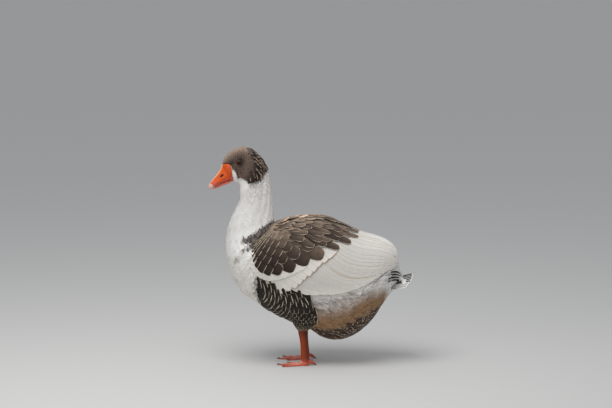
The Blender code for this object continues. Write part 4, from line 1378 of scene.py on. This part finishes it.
def horn_material(name, roughness, pit_size, pit_depth, gloss):
    """Bare horn or skin: its painted tint, blotched a little, with fine pits."""
    flesh = {"Subsurface_Weight": 0.08, "Subsurface_Radius": (1.0, 0.3, 0.15), "Subsurface_Scale": 0.003}
    finish = {"Coat_Weight": gloss, "Coat_Roughness": 0.3, "Specular_IOR_Level": 0.3}
    material, bsdf, n = shader(name, roughness, **flesh, **finish)
    place = n.place()
    blotch = n.ramp(n.noise(place, 7.0, 3.0), 0.3, 0.7, 0.0, 0.28)
    n.feed(n.mix(blotch, n.attribute("tint"), (0.20, 0.03, 0.008)), bsdf.inputs["Base Color"])
    n.bump(n.noise(place, pit_size, 3.0, 0.6), pit_depth, bsdf)
    return material


EYE_RADIUS = 8.5
PUPIL, IRIS = 3.5, 6.2  # radii on the eyeball
LID_LONG, LID_HIGH, LID_THICK = 7.4, 5.9, 1.2


def eye_frame(side):
    """The eyeball's middle, and its outward, forward and upward directions."""
    low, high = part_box(f"eye_{side}")
    middle = (np.array(low) + np.array(high)) / 2 / MM
    sign = 1 if middle[1] > 0 else -1
    out = unit(np.array((-0.10, sign * 0.99, 0.08)))
    forward = unit(np.array((-1.0, 0.0, 0.0)) + out * out[0])
    return middle, out, forward, np.cross(forward, out) * -sign


def eyeballs(material):
    """A ball whose pole looks out, so that pupil and iris are rings round it; a bulge stands for the
    cornea."""
    away, round_it = grid(np.linspace(0.03, np.pi - 0.05, 60), turns_round(64))
    reach = EYE_RADIUS * (1 + 0.03 * hump(away, 0, 0.55))
    flat = reach * np.sin(away)
    ray = 0.5 + 0.5 * np.sin(23 * round_it) * np.sin(11 * round_it + 1)
    tint = toward(EYE_BROWN, EYE_DARK, 0.35 * ray)
    tint = toward(tint, EYE_DARK, 1 - between(flat, PUPIL - 0.2, PUPIL + 0.2, IRIS - 0.5, IRIS + 0.3))
    tint = np.where((away > np.pi / 2)[..., None], EYE_DARK, tint)
    for side, _ in SIDES:
        middle, out, forward, up = eye_frame(side)
        points = middle + (reach * np.cos(away))[..., None] * out
        points = points + (flat * np.cos(round_it))[..., None] * forward
        points = points + (flat * np.sin(round_it))[..., None] * up
        belongs(closed(f"eyeball_{side}", points, tint, material), "eye", f"eye_{side}")


def eye_material():
    """A wet ball: its painted tint under a thin gloss."""
    material, bsdf, n = shader("eye", 0.25, Coat_Weight=0.12, Coat_Roughness=0.03, Specular_IOR_Level=0.05)
    n.feed(n.attribute("tint"), bsdf.inputs["Base Color"])
    return material


def eyelids(material):
    """A rounded rim carried round an oval on the eyeball: the upper lid is thicker and the corners are
    drawn out."""
    around, ring = grid(turns_round(96), turns_round(14))
    long = LID_LONG * np.cos(around) * (1 + 0.10 * np.abs(np.cos(around)) ** 6)
    high = LID_HIGH * np.sin(around)
    thick = LID_THICK * (1 + 0.35 * np.maximum(np.sin(around), 0))
    grow = 1 + thick * np.cos(ring) / np.hypot(long, high)
    stand = np.sqrt(np.maximum(EYE_RADIUS**2 - long**2 - high**2, 4.0)) + 0.1
    stand = stand + 0.8 * thick * np.sin(ring) - 0.55 * thick * np.cos(ring)
    j = np.arange(around.shape[1])
    last = (len(around) - 1) * len(j)
    closing = np.stack([last + j, last + np.roll(j, -1), np.roll(j, -1), j], 1)
    faces = np.concatenate([grid_faces(*around.shape), closing])
    tint = toward(LID, EYE_DARK, 0.6 * smooth(np.cos(ring), 0.0, -0.8))
    for side, _ in SIDES:
        middle, out, forward, up = eye_frame(side)
        points = middle + (long * grow)[..., None] * forward + (high * grow)[..., None] * up
        points = points + stand[..., None] * out
        obj = new_mesh(f"eyelids_{side}", points.reshape(-1, 3), faces, [], material)
        paint(obj, "tint", tint.reshape(-1, 3))
        belongs(obj, "head_plumage")


# The bare leg's rings from the feathers down: height, middle x, half widths along x and y.
LEG = (
    (108, -19, 14.0, 9.4), (96, -18.5, 14.0, 9.4), (86, -17.5, 12.6, 8.2), (64, -15.5, 11.2, 7.2),
    (42, -14, 11.2, 7.2), (26, -13, 11.8, 7.8), (17, -12.5, 12.2, 8.5), (9, -13, 12.4, 9.2),
    (3, -13, 11.0, 8.6),
)
SCUTE = 6.0  # height of the plates down the leg's front
TOES = ((58, -27), (78, 0), (68, 27))  # inner, middle, outer: length and angle from straight ahead
TOED_IN = 4.0
TOE_HALF, TOE_TIP, TOE_HIGH = 6.2, 2.2, 5.6
WEB_THICK, WEB_EDGE = 2.8, 0.9  # in the middle and at the rounded rim
RIM_SHARE = 0.07  # of the reach, that the rim takes up
# How far the foot reaches from the leg's middle, by the angle from the middle toe: a short heel, round each
# toe's end and into the web's hollows.
FOOT_EDGE = (
    (-75, 12), (-45, 17), (-34, 34), (-29.6, 56.5), (-27, 58), (-24.4, 56.5), (-14, 48.96), (-2.4, 76.5),
    (0, 78), (2.4, 76.5), (14, 53.728), (24.4, 66.5), (27, 68), (29.6, 66.5), (34, 36), (45, 17), (75, 12),
)
ANKLE_SWELL = (15.5, 12.5, 11.0)  # half length, half width and height of the foot's swell under the leg
FOOT_ROWS, RIM_ROWS, FOOT_COLUMNS = 40, 6, 288
SOLE_HIGH = 0.05
HIND_TOE = ((8, 0, 12.5), (14, 0, 11.5), (20, -1, 9.0), (25, -2, 6.2), (29, -2.5, 4.0))
CLAW_PATH = ((-3, 2.8), (0, 3.2), (3, 2.6), (5, 1.0))  # past a toe's end, and height
HIND_CLAW = ((28, -2.5, 3.8), (31, -2.7, 2.8), (33.5, -2.8, 1.4))
SIDES = (("left", 1), ("right", -1))


def bare_legs(material):
    """A tube through the rings, with broad overlapping plates down its front and a ridge of tendon
    behind."""
    rows = np.array(LEG, float)
    z, turn = grid(np.linspace(rows[0, 0], rows[-1, 0], 180), turns_round(48))
    middle, half_x, half_y = [np.interp(-z, -rows[:, 0], c) for c in rows[:, 1:].T]
    front = np.clip(np.cos(turn), 0, 1) ** 0.7
    plate = (z / SCUTE + 0.15 * np.cos(turn)) % 1
    plates = 0.55 * front * (1 - plate) ** 1.5 - 0.35 * front * hump(plate, 0.97, 0.05)
    crosshatch = 0.22 * (1 - front) * np.cos(turn * 14 + z * 1.1) * np.cos(turn * 14 - z * 1.1)
    grow = plates + crosshatch - 0.45 * hump(np.cos(turn), -0.75, 0.15)
    tint = np.broadcast_to(LEG_RED, z.shape + (3,))
    brown = 0.7 * smooth(np.cos(turn), 0.3, -0.6) + 0.5 * smooth(z, 70, 100)
    tint = toward(tint, LEG_BROWN, np.clip(brown, 0, 1))
    dark = 0.55 * front * hump(plate, 0.97, 0.07) + 0.25 * smooth(-crosshatch, 0.05, 0.2)
    tint = toward(tint, LEG_DARK, dark)
    tint = toward(tint, FOOT_ROSE, 0.7 * (1 - smooth(z, 6, 26)))
    for side, sign in SIDES:
        x = middle + SHIFT_X - (half_x + grow) * np.cos(turn)
        y = sign * LEG_OUT + (half_y + grow) * np.sin(turn)
        leg = closed(f"leg_skin_{side}", np.stack([x, y, z], -1), tint, material)
        belongs(leg, "leg_scales", f"leg_{side}")


def toe_ways(sign):
    """Each toe's direction on the floor and its length."""
    turns = [math.radians(degrees - TOED_IN) * sign for _, degrees in TOES]
    return [(np.array((-math.cos(a), math.sin(a))), length) for a, (length, _) in zip(turns, TOES)]


def feet(material):
    """One height over a round plan. The plan's reach at each angle is the foot's edge. The height is the
    web's, plus a rounded ridge along each toe and a swell under the leg, and falls to a thin rim. The sole
    is flat."""
    angle = turns_round(FOOT_COLUMNS, -np.pi)
    whole = np.linspace(0.02, 1 - RIM_SHARE, FOOT_ROWS - RIM_ROWS)
    share = np.concatenate([whole, 1 - RIM_SHARE * np.cos(np.linspace(0.3, np.pi / 2, RIM_ROWS))])[:, None]
    rim = np.sqrt(np.clip(1 - (np.maximum(share - whole[-1], 0) / RIM_SHARE) ** 2, 0, 1))
    swell_x, swell_y, swell_high = ANKLE_SWELL
    for side, sign in SIDES:
        from_middle_toe = np.degrees(np.arctan2(np.sin(angle) * sign, -np.cos(angle))) + TOED_IN
        r = share * edge(FOOT_EDGE, from_middle_toe)
        flat_x, flat_y = r * np.cos(angle), r * np.sin(angle)
        ridge = np.zeros(r.shape)
        for way, length in toe_ways(sign):
            along = (flat_x * way[0] + flat_y * way[1]) / length
            off = flat_x * way[1] - flat_y * way[0]
            part = np.clip(along, 0, 1)
            knuckle = 1 + 0.10 * np.cos(part * 6 * np.pi)
            half = (TOE_HALF + (TOE_TIP - TOE_HALF) * part**1.4) * knuckle
            high = (TOE_HIGH + (TOE_TIP - TOE_HIGH) * part**1.3) * knuckle * 1.9 - 1.0
            rings = 0.16 * np.sin(part * length * 2 * np.pi / 2.4)
            bar = hump(off, 0, 0.72 * half) * smooth(along, -0.15, 0.05)
            ridge = np.maximum(ridge, bar * (high - WEB_THICK + rings))
        swell = np.clip(1 - (flat_x / swell_x) ** 2 - (flat_y / swell_y) ** 2, 0, 1) ** 0.6
        crease = 0.10 * np.sin(r * 2 * np.pi / 3.2) * np.exp(-ridge)
        z = WEB_EDGE + (WEB_THICK + ridge + swell_high * swell - WEB_EDGE + crease) * rim
        over = np.stack([flat_x, flat_y, z], -1)
        under = np.stack([flat_x, flat_y, np.full(z.shape, SOLE_HIGH)], -1)[::-1]
        points = np.concatenate([over, under]) + (ANKLE_X + SHIFT_X, sign * LEG_OUT, 0)
        web = np.exp(-ridge / 1.2) * smooth(r, 14, 26)
        tint = toward(toward(FOOT, FOOT_ROSE, web * 0.8), LEG_DARK, 1.2 * np.abs(crease))
        # painted highlight: the tops of the toes are paler
        tint = toward(tint, TOE_HIGHLIGHT, 0.55 * smooth(ridge, 0.5, 3.0))
        tint = np.concatenate([tint, np.broadcast_to(FOOT_ROSE * 0.6, tint.shape)])
        belongs(closed(f"foot_skin_{side}", points, tint, material), "leg_scales", f"foot_{side}")
        tapered(f"hind_toe_skin_{side}", HIND_TOE, (5.4, 5.2, 4.8, 4.2, 2.6), sign, material, FOOT_ROSE)


def tapered(name, path, radius, sign, material, tint):
    """A round finger through path points given from the leg's middle: rings of the radii, square to the
    path."""
    share = np.linspace(0, 1, 26)
    knots = np.linspace(0, 1, len(path))
    line = np.stack([np.interp(share, knots, c) for c in np.array(path, float).T], 1)
    line[1:-1] = (line[:-2] + 2 * line[1:-1] + line[2:]) / 4
    line[:, 1] *= sign
    size = np.interp(share, knots, radius) * np.sqrt(np.clip(1.0 - share**10, 0.02, 1))
    way = unit(np.gradient(line, axis=0))
    across = unit(np.cross(way, (0, 0, 1.0)))
    upward = np.cross(across, way)
    turn = turns_round(20)[None, :, None]
    ring = np.cos(turn) * across[:, None] + np.sin(turn) * upward[:, None]
    points = line[:, None] + size[:, None, None] * ring + (ANKLE_X + SHIFT_X, sign * LEG_OUT, 0)
    points[..., 2] = np.maximum(points[..., 2], 2 * SOLE_HIGH)
    belongs(closed(name, points, tint, material), "leg_scales")


def claws(material):
    """A short curved nail at the end of each toe."""
    for side, sign in SIDES:
        for toe, (way, length) in zip(("inner", "middle", "outer"), toe_ways(1)):
            path = [(*(way * (length + ahead)), high) for ahead, high in CLAW_PATH]
            tapered(f"claw_{toe}_{side}", path, (1.9, 1.9, 1.3, 0.5), sign, material, CLAW_DARK)
        tapered(f"claw_hind_{side}", HIND_CLAW, (2.2, 1.6, 0.6), sign, material, CLAW_DARK)


bpy.context.scene.view_settings.view_transform = "Standard"
floor_and_light()
camera()
skin(skin_material())
white_vanes = plumage_material("white_vanes", 0.03, 0.09, 0.22)
vanes = plumage_material("dark_vanes", 0.07, 0.42, 0.5)
plain_coat(white_vanes, vanes)
horn = horn_material("bill_horn", 0.38, 1.1, 0.10, 0.12)
upper_bill(horn)
lower_bill(horn)
eyeballs(eye_material())
eyelids(horn)
scaly = horn_material("scaly_skin", 0.55, 1.6, 0.22, 0.03)
bare_legs(scaly)
feet(scaly)
claws(horn_material("claw_horn", 0.45, 0.8, 0.05, 0.1))
coat("saddle_plumage", saddle_coverts() + scapulars(), vanes, "brown_plumage")
coat("wing_plumage", white_wing(), white_vanes, "white_plumage", "wing_left", "wing_right")
coat("flank_plumage", flank_feathers(), vanes, "flank_plumage")
coat("tail_plumage", tail_feathers() + tail_sides(), vanes, "flank_plumage", "tail")
coat("tail_coverts", tail_coverts(), white_vanes, "white_plumage")
coat("paunch_plumage", [paunch_fluff()], plumage_material("soft_vanes", 0.04, 0.24, 0.3), "white_plumage")
coat("thigh_plumage", thigh_feathers(), vanes, "flank_plumage", "thigh_left", "thigh_right")
